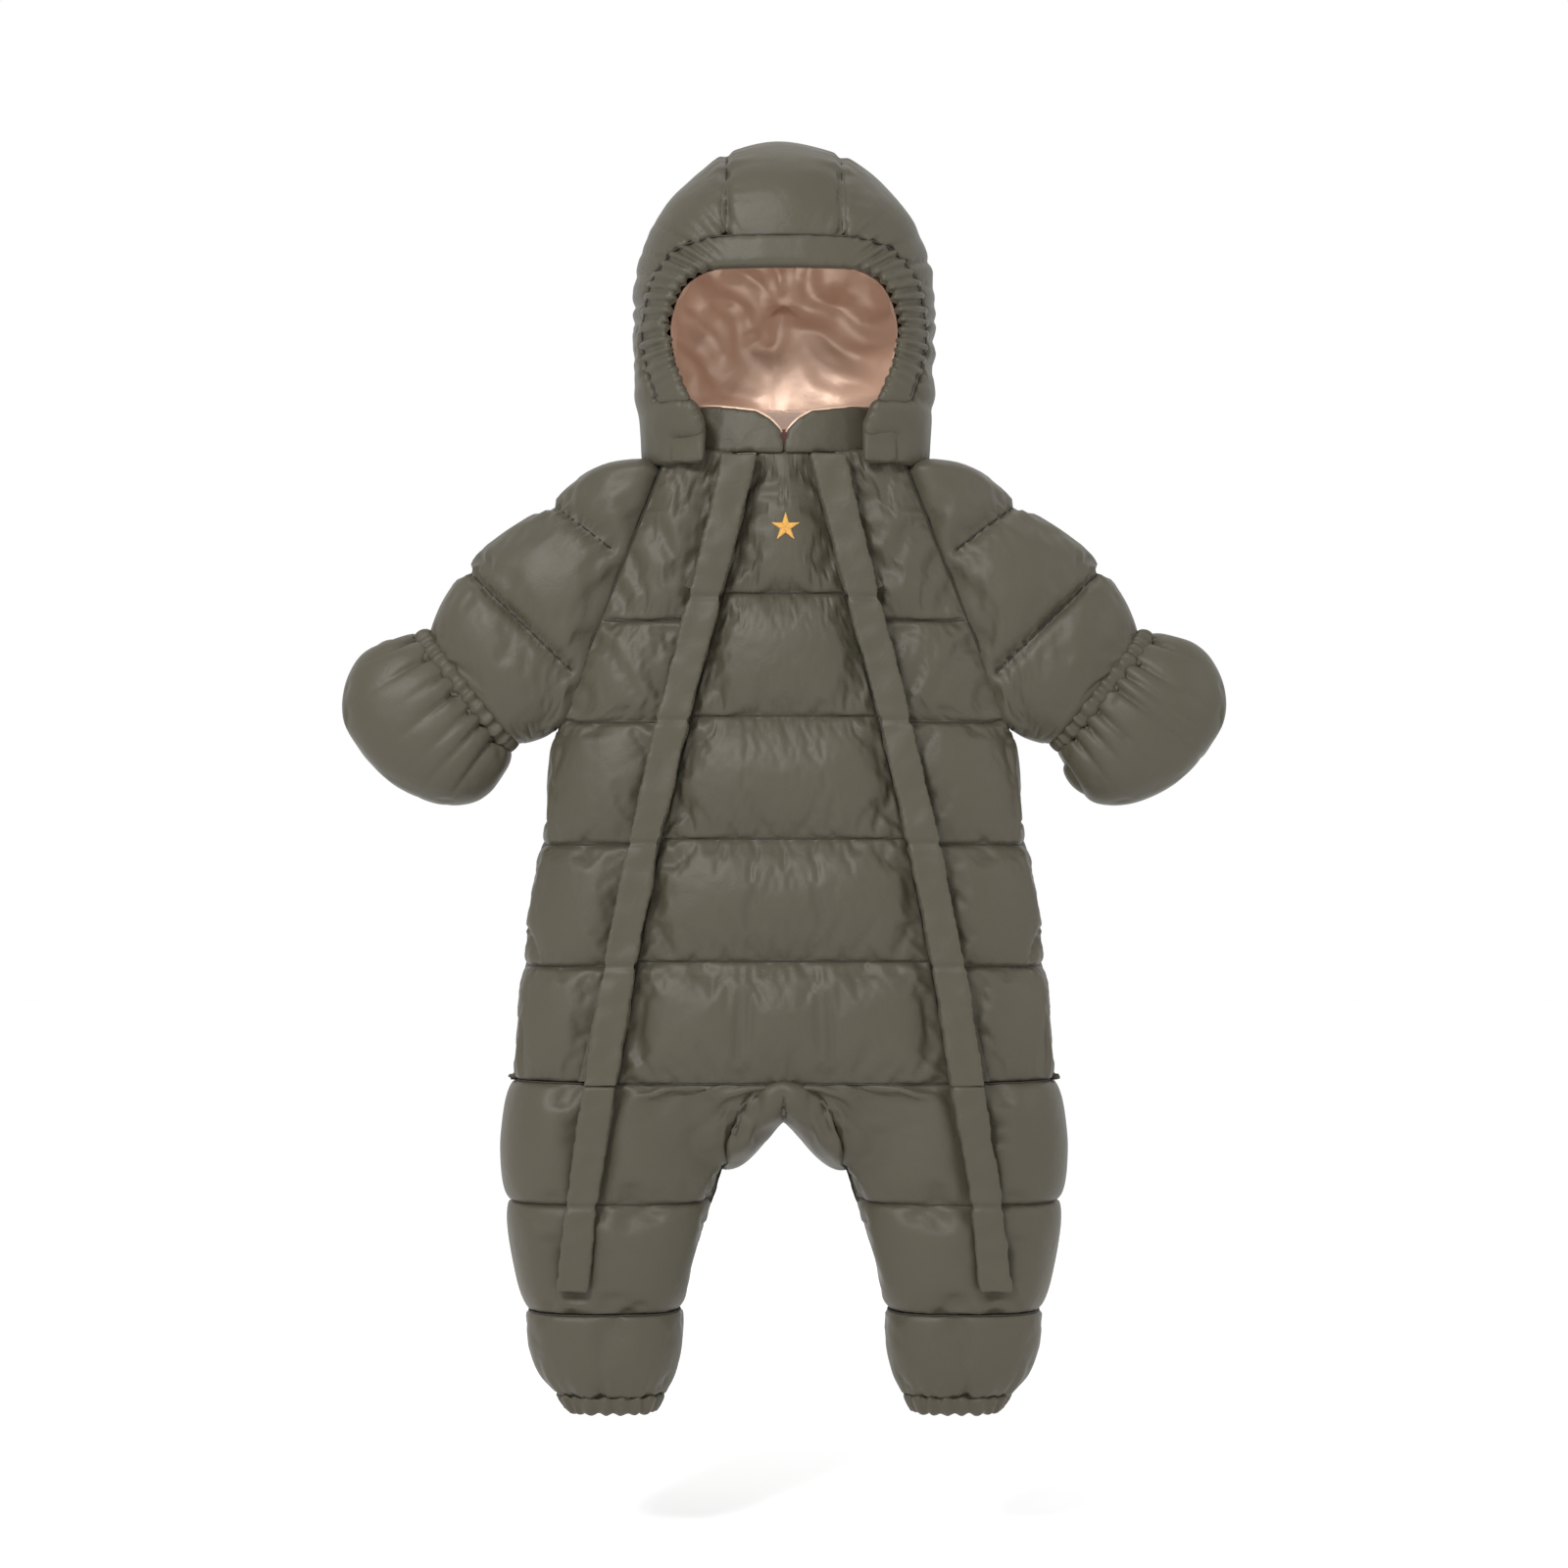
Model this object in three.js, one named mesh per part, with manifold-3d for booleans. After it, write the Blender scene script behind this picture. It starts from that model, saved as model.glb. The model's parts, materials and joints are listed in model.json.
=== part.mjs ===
// A baby's quilted, hooded one-piece snowsuit, standing upright as it hangs.
// Millimetres, +Z up, the front faces -Y and the wearer's left is +X.
// The suit is drawn about the middle of its trunk, with Z = 0 at the neckline,
// and the whole group is then moved so that the origin is inside the hanger loop.

import * as THREE from 'three';
import { mergeVertices } from 'three/addons/utils/BufferGeometryUtils.js';
import Module from 'manifold-3d';

const wasm = await Module();
wasm.setup();

// ---------- driving dimensions ----------

const PADDING = 9.5; // quilted wall, shell and wadding together
const HOOD_WALL = 9;
const LINING = 1.8; // lining fabric, drawn thick enough to be a solid
const SEAM = 0.4; // gap left where two sewn pieces meet
const COLLAR_WALL = 5;
const BAND_WALL = 4.5; // elasticated bands

const NECK_Z = -12; // top edge of the trunk panels
const HIP_Z = -414; // quilt line where the legs fold forwards
const FOOT_Z = -563; // seam between leg and foot section
const HEM_Z = -617; // top of the elasticated hem
const TOE_Z = -627;
const CROTCH_HALF_WIDTH = 37.5;

// Trunk cross-sections: half width and half depth against height.
const TRUNK_WIDTH = [[-6, 102], [NECK_Z, 104], [-60, 122], [-120, 141], [-186, 149.5], [-248, 156], [-316, 167],
  [-365, 172.5], [HIP_Z, 177.3], [-430, 178.5]];
const TRUNK_DEPTH = [[-6, 45], [NECK_Z, 45], [-60, 45.5], [-120, 46.5], [-186, 48], [-248, 49.3], [-316, 50.5],
  [-365, 51.3], [HIP_Z, 52], [-430, 52]];
const TRUNK_ROUNDNESS = 2.8;

// The raglan seam runs straight from the neck to the armpit.
const RAGLAN_TOP = [78, -20];
const ARMPIT = [145, -186];

// Zip flap: its stitched inner edge and its free outer edge, x against z.
const FLAP_INNER = [[-6, 15], [-102, 39.3], [-161, 55], [-260, 79], [-340, 94.5], [HIP_Z, 106.5], [-489, 119],
  [-547, 125]];
const FLAP_OUTER = [[-6, 37.7], [-38, 43.7], [-105, 60.2], [-164, 76], [-262, 98.8], [-340, 114.3],
  [HIP_Z, 126.5], [-490, 138], [-546, 145]];
const FLAP_FRONT_Y = -57;
const FLAP_BACK_Y = -53.5;
const FLAP_STITCH_WIDTH = 2.2;
const FLAP_END_Z = -546;
const LEG_FLAP_LEAN = 0.1; // how fast the flap follows the leg back towards the foot

// The zip under the flap is straight, so that its slider can run along it.
const ZIP_START = [38, -52];
const ZIP_SLOPE = 0.235; // outwards for each unit down
const ZIP_TOP_Z = -20;
const GROOVE_Y = -43.5;
const GROOVE_HALF_WIDTH = 9;
const TAPE_HALF_WIDTH = 8;
const TEETH_HALF_WIDTH = 2;
const SLIDER_REST_Z = -60;
const SLIDER_LENGTH = 14;
const POST_DISTANCE = 11; // slider centre to the post that holds the pull
const PULL_LENGTH = 33;
const PULL_WIDTH = 11;
const PULL_TILT = 28; // degrees out from straight down

// Legs: outer and inner side and half depth against height.
const LEG_OUTER = [[-410, 177], [-455, 180.4], [-490, 180.4], [-531, 172], [FOOT_Z, 167], [-583, 164.5],
  [-602, 158], [HEM_Z, 147], [TOE_Z, 140]];
const LEG_INNER = [[-410, 38], [-474, 38], [-490, 44], [-514, 51.5], [-536, 60], [FOOT_Z, 65], [-583, 67],
  [-602, 71], [HEM_Z, 77], [TOE_Z, 82]];
const LEG_DEPTH = [[-410, 46], [-455, 46], [-490, 44], [-531, 40], [FOOT_Z, 37], [-602, 32], [HEM_Z, 27],
  [TOE_Z, 24]];
const LEG_STATIONS = [-410, -455, -490, -531, FOOT_Z, -583, -602, HEM_Z, TOE_Z];

// Sleeve cross-sections lie on slanted lines from the top of the sleeve to its underside.
const SLEEVE_SECTIONS = [
  { top: RAGLAN_TOP, bottom: ARMPIT, depth: 36 },
  { top: [118, -23], bottom: [151, -187.5], depth: 38 },
  { top: [161, -50], bottom: [157, -189.5], depth: 37 },
  { top: [205, -81], bottom: [164, -191], depth: 34 },
  { top: [229, -127], bottom: [173, -192], depth: 28 },
];

// Mitten: sections along its own axis, from the cuff to the tip.
const CUFF_CENTRE = [209.5, -163.5];
const CUFF_OUT = [0.772, -0.636]; // unit vector from the cuff towards the tip
const CUFF_ALONG = [0.636, 0.772]; // unit vector along the cuff, towards the top
const BAND_START = -7.4;
const MITTEN_SECTIONS = [[0, -50, 46, 26], [9, -58, 53, 30], [22, -62, 57, 33], [38, -61, 56.5, 34],
  [52, -51, 51, 32], [63, -37, 42, 27], [71, -20, 30, 20], [75, -4, 14, 9]];

// Hood cross-sections: z, half width, centre y, half depth.
const HOOD_SECTIONS = [[-18, 90, -10, 56], [-6, 91, -8, 58], [20, 91, -11, 65], [62, 95, -13, 71],
  [96, 94.5, -15, 71], [124, 84, -17, 67], [150, 71, -18, 58], [168, 54, -19, 45], [181, 27, -19, 26]];
const HOOD_BASE_Z = -6;
const HOOD_SIDE_SEAM_Z = 55;
const HOOD_CENTRE_HALF_WIDTH = 36.5;
const RIM_SEAM = [[78, 19], [87, 43], [90, 68], [84, 95], [68, 113], [48, 119]];
const RIM_EDGE = [[62, 22], [71, 43], [76, 68], [69, 88], [60, 98], [48, 102]];
const RIM_BOTTOM_Z = 19;
const TAB_TOP_Z = 5;
const TAB_BOTTOM_Z = -18;
const TAB_INNER_X = 51;
const TAB_OUTER_X = 88;
const TAB_BACK_Y = -46.5;

// Collar: z, half width, centre y, half depth.
const COLLAR_SECTIONS = [[-11.5, 70, -5, 41], [4, 67, -5, 39.5], [20, 63, -5, 37.5]];
const COLLAR_FRONT_OUTLINE = [[0.5, -11.5], [0.5, -10], [2.5, 2], [9, 9], [18, 14], [40, 17], [80, 19.5],
  [80, -11.5]];

const LABEL_SIZE = [20, 1, 19];
const MOTIF_RADIUS = 9;
const MOTIF_CENTRE = [1, -61];
const LOOP_RADIUS = 8;
const LOOP_THICKNESS = 2;
const LOOP_CENTRE = [0, 30, -22];

// ---------- materials ----------

function material(color, roughness, metalness = 0) {
  return new THREE.MeshStandardMaterial({ color, roughness, metalness });
}

const SHELL = () => material(0x645e52, 0.45);
const SATIN = () => material(0xb09480, 0.38);
const COLLAR_INSIDE = () => material(0xb29b8c, 0.8);
const ELASTIC = () => material(0x565145, 0.7);
const TAPE = () => material(0x4a453a, 0.75);
const TEETH = () => material(0x3d3a32, 0.4);
const METAL = () => material(0x6d665a, 0.35, 0.9);
const RIBBON = () => material(0x3d3621, 0.6);
const THREAD = () => material(0xd9a441, 0.5);
const LABEL = () => material(0x4a1c14, 0.7);

// ---------- small tools ----------

/** Value of a piecewise linear table of [z, value] pairs, which run downwards or upwards. */
function lookUp(table, z) {
  const rows = table[0][0] > table[table.length - 1][0] ? [...table].reverse() : table;
  if (z <= rows[0][0]) return rows[0][1];
  for (let i = 1; i < rows.length; i += 1) {
    if (z <= rows[i][0]) {
      const share = (z - rows[i - 1][0]) / (rows[i][0] - rows[i - 1][0]);
      return THREE.MathUtils.lerp(rows[i - 1][1], rows[i][1], share);
    }
  }
  return rows[rows.length - 1][1];
}

/** Closed ring of points on a superellipse spanned by the vectors u and v. */
function ring(centre, u, v, roundness, count) {
  const points = [];
  for (let i = 0; i < count; i += 1) {
    const angle = (2 * Math.PI * (i + 0.5)) / count;
    const c = Math.cos(angle);
    const s = Math.sin(angle);
    const a = Math.sign(c) * Math.abs(c) ** (2 / roundness);
    const b = Math.sign(s) * Math.abs(s) ** (2 / roundness);
    points.push(centre.clone().addScaledVector(u, a).addScaledVector(v, b));
  }
  return points;
}

/** Horizontal ring with half width w and half depth d. */
function levelRing(x, y, z, w, d, roundness, count) {
  return ring(new THREE.Vector3(x, y, z), new THREE.Vector3(w, 0, 0), new THREE.Vector3(0, d, 0), roundness, count);
}

/** Volume enclosed by a closed triangle mesh; negative when its faces point inwards. */
function signedVolume(points, faces) {
  const cross = new THREE.Vector3();
  let sum = 0;
  for (const [a, b, c] of faces) {
    sum += points[a].dot(cross.crossVectors(points[b], points[c])) / 6;
  }
  return sum;
}

/** Closed solid through rings of equal length, with flat ends. */
function loft(rings) {
  const count = rings[0].length;
  const points = rings.flat();
  const faces = [];
  for (let r = 0; r + 1 < rings.length; r += 1) {
    for (let i = 0; i < count; i += 1) {
      const j = (i + 1) % count;
      const a = r * count + i;
      const b = r * count + j;
      faces.push([a, b, b + count], [a, b + count, a + count]);
    }
  }
  for (const [start, flip] of [[0, true], [(rings.length - 1) * count, false]]) {
    for (const [a, b, c] of capFaces(points.slice(start, start + count))) {
      faces.push(flip ? [start + a, start + c, start + b] : [start + a, start + b, start + c]);
    }
  }
  if (signedVolume(points, faces) < 0) {
    faces.forEach((face) => face.reverse());
  }
  return solidFrom(points, faces);
}

/** Triangles that fill a flat ring, in the ring's own order. */
function capFaces(points) {
  const centre = points.reduce((sum, p) => sum.add(p), new THREE.Vector3()).divideScalar(points.length);
  const normal = new THREE.Vector3();
  points.forEach((p, i) => {
    const q = points[(i + 1) % points.length];
    normal.add(p.clone().sub(centre).cross(q.clone().sub(centre)));
  });
  normal.normalize();
  const u = points[1].clone().sub(points[0]).normalize();
  const v = normal.clone().cross(u);
  const flat = points.map((p) => new THREE.Vector2(p.dot(u), p.dot(v)));
  return THREE.ShapeUtils.triangulateShape(flat, []);
}

/** Manifold solid from points and triangles. */
function solidFrom(points, faces) {
  const geometry = new THREE.BufferGeometry();
  geometry.setAttribute('position', new THREE.Float32BufferAttribute(points.flatMap((p) => [p.x, p.y, p.z]), 3));
  geometry.setIndex(faces.flat());
  return toSolid(geometry);
}

/** Manifold solid from a closed three.js geometry. */
function toSolid(geometry) {
  const bare = geometry.clone();
  bare.deleteAttribute('normal');
  bare.deleteAttribute('uv');
  const merged = mergeVertices(bare, 1e-4);
  return new wasm.Manifold(new wasm.Mesh({
    numProp: 3,
    vertProperties: new Float32Array(merged.attributes.position.array),
    triVerts: new Uint32Array(merged.index.array),
  }));
}

/** three.js geometry from a manifold solid. */
function toGeometry(solid) {
  const mesh = solid.getMesh();
  const geometry = new THREE.BufferGeometry();
  geometry.setAttribute('position', new THREE.BufferAttribute(new Float32Array(mesh.vertProperties), 3));
  geometry.setIndex(new THREE.BufferAttribute(new Uint32Array(mesh.triVerts), 1));
  return geometry;
}

/** Straight prism along Y over an outline of [x, z] points. */
function prism(outline, yLow, yHigh) {
  const shape = new THREE.Shape(outline.map(([x, z]) => new THREE.Vector2(x, z)));
  const geometry = new THREE.ExtrudeGeometry(shape, { depth: yHigh - yLow, bevelEnabled: false });
  geometry.rotateX(Math.PI / 2);
  geometry.translate(0, yHigh, 0);
  return toSolid(geometry);
}

/** Block between two corners. */
function block(low, high) {
  const size = high.map((value, i) => value - low[i]);
  const geometry = new THREE.BoxGeometry(...size);
  geometry.translate(...low.map((value, i) => value + size[i] / 2));
  return toSolid(geometry);
}

/** The same solid on the other side of the body. */
function mirrored(solid) {
  return solid.mirror([1, 0, 0]);
}

/** Half-space masks. */
const FAR = 900;
const FRONT_HALF = block([-FAR, -FAR, -FAR], [FAR, -SEAM / 2, FAR]);
const BACK_HALF = block([-FAR, SEAM / 2, -FAR], [FAR, FAR, FAR]);
const LEFT_SIDE = block([0, -FAR, -FAR], [FAR, FAR, FAR]);

function slab(zLow, zHigh) {
  return block([-FAR, -FAR, zLow], [FAR, FAR, zHigh]);
}

function zipX(z) {
  return ZIP_START[0] + ZIP_SLOPE * (ZIP_START[1] - z);
}

function raglanX(z) {
  const slope = (ARMPIT[0] - RAGLAN_TOP[0]) / (ARMPIT[1] - RAGLAN_TOP[1]);
  return RAGLAN_TOP[0] + slope * (z - RAGLAN_TOP[1]);
}

/** Depth of the trunk's outer surface in front of its middle, at x and z. */
function trunkDepth(x, z) {
  const across = Math.abs(x) / lookUp(TRUNK_WIDTH, z);
  return lookUp(TRUNK_DEPTH, z) * (1 - across ** TRUNK_ROUNDNESS) ** (1 / TRUNK_ROUNDNESS);
}

// ---------- scene ----------

const suit = new THREE.Group();
suit.name = 'suit';
suit.position.set(-LOOP_CENTRE[0], -LOOP_CENTRE[1], -(LOOP_CENTRE[2] + LOOP_RADIUS - LOOP_THICKNESS));

function addPart(name, solid, look, parent = suit) {
  const mesh = new THREE.Mesh(toGeometry(solid), look);
  mesh.name = name;
  parent.add(mesh);
  return mesh;
}

/** Adds a piece drawn on the wearer's left, and its mirror image on the right. */
function addPair(name, solid, look) {
  addPart(`${name}_left`, solid, look());
  addPart(`${name}_right`, mirrored(solid), look());
}

// ---------- trunk ----------

/** Trunk drawn a distance inside its outer surface, open at neck and hip. */
function trunkBody(inset) {
  const ends = inset > 0 ? 8 : 0;
  return loft(TRUNK_WIDTH.map(([z, width], i) => {
    const shift = i === 0 ? ends : 0;
    const drop = i === TRUNK_WIDTH.length - 1 ? ends : 0;
    const depth = TRUNK_DEPTH[i][1] - inset;
    return levelRing(0, 0, z + shift - drop, width - inset, depth, TRUNK_ROUNDNESS, 28);
  }));
}

/** Everything between the two raglan seams, down to the hip. */
function trunkMask(inset) {
  const side = (sign) => [
    [sign * (raglanX(NECK_Z) - inset), NECK_Z - SEAM],
    [sign * (ARMPIT[0] - inset), ARMPIT[1]],
    [sign * 220, -246],
    [sign * 220, HIP_Z + SEAM],
  ];
  return prism([...side(1), ...side(-1).reverse()], -FAR, FAR);
}

function buildTrunk() {
  const wall = trunkBody(0).subtract(trunkBody(PADDING)).intersect(trunkMask(SEAM));
  const groove = loft([NECK_Z + 2, HIP_Z - 2].map((z) => [
    new THREE.Vector3(zipX(z) - GROOVE_HALF_WIDTH, GROOVE_Y, z),
    new THREE.Vector3(zipX(z) + GROOVE_HALF_WIDTH, GROOVE_Y, z),
    new THREE.Vector3(zipX(z) + GROOVE_HALF_WIDTH, GROOVE_Y - 20, z),
    new THREE.Vector3(zipX(z) - GROOVE_HALF_WIDTH, GROOVE_Y - 20, z),
  ]));
  const front = wall.intersect(FRONT_HALF).subtract(groove).subtract(mirrored(groove));
  const centreOutline = (inset) => [
    [zipX(0) - inset, 0],
    [zipX(HIP_Z) - inset, HIP_Z - 10],
    [-zipX(HIP_Z) + inset, HIP_Z - 10],
    [-zipX(0) + inset, 0],
  ];
  const wide = prism(centreOutline(-SEAM / 2), -FAR, FAR);
  const narrow = prism(centreOutline(SEAM / 2), -FAR, FAR);
  addPart('centre_front_panel', front.intersect(narrow), SHELL());
  addPair('side_front_panel', front.subtract(wide).intersect(LEFT_SIDE), SHELL);
  addPart('back_panel', wall.intersect(BACK_HALF), SHELL());

  const liningWall = trunkBody(PADDING + SEAM).subtract(trunkBody(PADDING + SEAM + LINING))
    .intersect(trunkMask(SEAM + 4));
  addPart('front_lining', liningWall.intersect(FRONT_HALF), SATIN());
  addPart('back_lining', liningWall.intersect(BACK_HALF), SATIN());
}

// ---------- zip, slider and pull ----------

/** A strip that follows the zip, between two heights and two depths. */
function zipStrip(halfWidth, yNear, yFar, zTop, zBottom) {
  return loft([zTop, zBottom].map((z) => [
    new THREE.Vector3(zipX(z) - halfWidth, yNear, z),
    new THREE.Vector3(zipX(z) + halfWidth, yNear, z),
    new THREE.Vector3(zipX(z) + halfWidth, yFar, z),
    new THREE.Vector3(zipX(z) - halfWidth, yFar, z),
  ]));
}

const TAPE_Y = GROOVE_Y - 0.3;
const TEETH_Y = TAPE_Y - 1.3;
const TEETH_TOP_Y = TEETH_Y - 2;
const SLIDER_TOP_Y = TEETH_TOP_Y - 3.5;

function buildZip() {
  addPair('zip_tape', zipStrip(TAPE_HALF_WIDTH, TAPE_Y, TAPE_Y - 1, ZIP_TOP_Z, HIP_Z + 2), TAPE);
  addPair('zip_teeth', zipStrip(TEETH_HALF_WIDTH, TEETH_Y, TEETH_TOP_Y, ZIP_TOP_Z - 4, HIP_Z + 4), TEETH);
}

function sliderPoint(distanceDown) {
  const step = Math.hypot(1, ZIP_SLOPE);
  const z = SLIDER_REST_Z - distanceDown / step;
  return [zipX(z), z];
}

function cylinderY(centre, radius, yLow, yHigh, sides = 12) {
  const geometry = new THREE.CylinderGeometry(radius, radius, yHigh - yLow, sides);
  geometry.translate(centre[0], (yLow + yHigh) / 2, centre[1]);
  return toSolid(geometry);
}

function buildSlider() {
  const [, top] = sliderPoint(-SLIDER_LENGTH / 2);
  const [, bottom] = sliderPoint(SLIDER_LENGTH / 2);
  const [, tongueEnd] = sliderPoint(POST_DISTANCE + 2);
  const body = zipStrip(5, TEETH_Y, SLIDER_TOP_Y, top, bottom);
  const slot = zipStrip(TEETH_HALF_WIDTH + 0.6, TEETH_Y + 1, TEETH_TOP_Y - 0.4, top + 2, bottom - 2);
  const tongue = zipStrip(2.5, TEETH_TOP_Y - 0.4, TEETH_TOP_Y - 1.2, bottom + 1, tongueEnd);
  const post = cylinderY(sliderPoint(POST_DISTANCE), 1.5, SLIDER_TOP_Y, TEETH_TOP_Y - 1);
  addPair('zip_slider', body.subtract(slot).add(tongue).add(post), METAL);
}

function buildPull() {
  const [x, z] = sliderPoint(POST_DISTANCE);
  const tilt = THREE.MathUtils.degToRad(PULL_TILT);
  const down = [Math.sin(tilt), -Math.cos(tilt)];
  const across = [Math.cos(tilt), Math.sin(tilt)];
  const corner = (along, side) => [x + down[0] * along + across[0] * side, z + down[1] * along + across[1] * side];
  const ribbon = prism([
    corner(-3, -2.5),
    corner(3, -PULL_WIDTH / 2),
    corner(PULL_LENGTH, -PULL_WIDTH / 2),
    corner(PULL_LENGTH, PULL_WIDTH / 2),
    corner(3, PULL_WIDTH / 2),
    corner(-3, 2.5),
  ], SLIDER_TOP_Y + 0.3, TEETH_TOP_Y - 1.6);
  const eye = cylinderY([x, z], 2, SLIDER_TOP_Y - 1, TEETH_TOP_Y);
  const sliderRoom = zipStrip(5.4, 0, SLIDER_TOP_Y - 1, SLIDER_REST_Z + 20, sliderPoint(SLIDER_LENGTH / 2 + 0.4)[1]);
  addPair('zip_pull', ribbon.subtract(eye).subtract(sliderRoom), RIBBON);
}

// ---------- zip flaps ----------

/** Flap section: a slab in front of the zip, turned in to the panel along its stitched edge. */
function flapRing(z, baseY, backY, frontY) {
  const inner = lookUp(FLAP_INNER, z);
  const outer = lookUp(FLAP_OUTER, z);
  return [
    [inner, baseY],
    [inner + FLAP_STITCH_WIDTH, baseY],
    [inner + FLAP_STITCH_WIDTH, backY],
    [outer, backY],
    [outer, frontY],
    [inner, frontY],
  ].map(([x, y]) => new THREE.Vector3(x, y, z));
}

function buildFlaps() {
  const trunkZ = [-14, -38, -60, -102, -120, -161, -186, -248, -262, -316, -340, -365, HIP_Z + SEAM];
  const trunkFlap = loft(trunkZ.map((z) => {
    const base = -trunkDepth(lookUp(FLAP_INNER, z), z) - SEAM;
    return flapRing(z, base, FLAP_BACK_Y, FLAP_FRONT_Y);
  }));
  addPair('zip_flap', trunkFlap, SHELL);

  const legZ = [HIP_Z - SEAM, -455, -490, -531, FLAP_END_Z];
  const legFlap = loft(legZ.map((z) => {
    const front = FLAP_FRONT_Y - (z - HIP_Z) * LEG_FLAP_LEAN;
    const depth = lookUp(LEG_DEPTH, z) + SEAM;
    return flapRing(z, -depth, Math.min(front + 3.5, -depth - 2), front);
  }));
  addPair('leg_flap', legFlap, SHELL);
}

// ---------- collar, label, loop and motif ----------

function collarBody(inset) {
  const stretch = inset > 0 ? 4 : 0;
  return loft(COLLAR_SECTIONS.map(([z, width, y, depth], i) => {
    const shift = (i - 1) * stretch;
    return levelRing(0, y, z + shift, width - inset, depth - inset, 2.4, 28);
  }));
}

function buildCollar() {
  const wall = collarBody(0).subtract(collarBody(COLLAR_WALL));
  const frontOutline = prism(COLLAR_FRONT_OUTLINE, -FAR, -SEAM / 2);
  addPair('collar_front', wall.intersect(frontOutline), SHELL);
  addPart('collar_back', wall.intersect(BACK_HALF), COLLAR_INSIDE());

  const inner = COLLAR_SECTIONS[1][2] + COLLAR_SECTIONS[1][3] - COLLAR_WALL;
  const [width, thickness, height] = LABEL_SIZE;
  addPart('neck_label', block([-width / 2, inner - 2.2 - thickness, -10], [width / 2, inner - 2.2, height - 10]), LABEL());
}

function buildHangerLoop() {
  const outer = new THREE.Shape();
  outer.absarc(0, 0, LOOP_RADIUS, 0, Math.PI, false);
  outer.lineTo(-LOOP_RADIUS + LOOP_THICKNESS, 0);
  outer.absarc(0, 0, LOOP_RADIUS - LOOP_THICKNESS, Math.PI, 0, true);
  const geometry = new THREE.ExtrudeGeometry(outer, { depth: 4, bevelEnabled: false, curveSegments: 10 });
  geometry.rotateX(Math.PI / 2);
  geometry.translate(LOOP_CENTRE[0], LOOP_CENTRE[1] + 2, LOOP_CENTRE[2]);
  addPart('hanger_loop', toSolid(geometry), TAPE());
}

function buildMotif() {
  const points = [];
  for (let i = 0; i < 10; i += 1) {
    const radius = i % 2 === 0 ? MOTIF_RADIUS : MOTIF_RADIUS * 0.45;
    const angle = Math.PI / 2 + (i * Math.PI) / 5;
    points.push([MOTIF_CENTRE[0] + radius * Math.cos(angle), MOTIF_CENTRE[1] + radius * Math.sin(angle)]);
  }
  const surface = -lookUp(TRUNK_DEPTH, -MOTIF_RADIUS + MOTIF_CENTRE[1]) - SEAM;
  addPart('chest_motif', prism(points, surface - 0.9, surface), THREAD());
}

// ---------- hood ----------

function hoodBody(inset) {
  return loft(HOOD_SECTIONS.map(([z, width, y, depth], i) => {
    const level = i === 0 ? z - inset : z - (i === HOOD_SECTIONS.length - 1 ? inset : inset * 0.35);
    return levelRing(0, y, level, width - inset, depth - inset, 2.3, 28);
  }));
}

/** Face opening as a prism, grown outwards by a margin. */
function faceOpening(edge, bottom, margin, y = -24) {
  const side = edge.map(([x, z]) => [x + margin, z + (z > 90 ? margin : 0)]);
  const right = [...bottom.map(([x, z]) => [x + margin, z]), ...side];
  const outline = [...right, ...right.map(([x, z]) => [-x, z]).reverse()];
  return prism(outline, -FAR, y);
}

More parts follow.
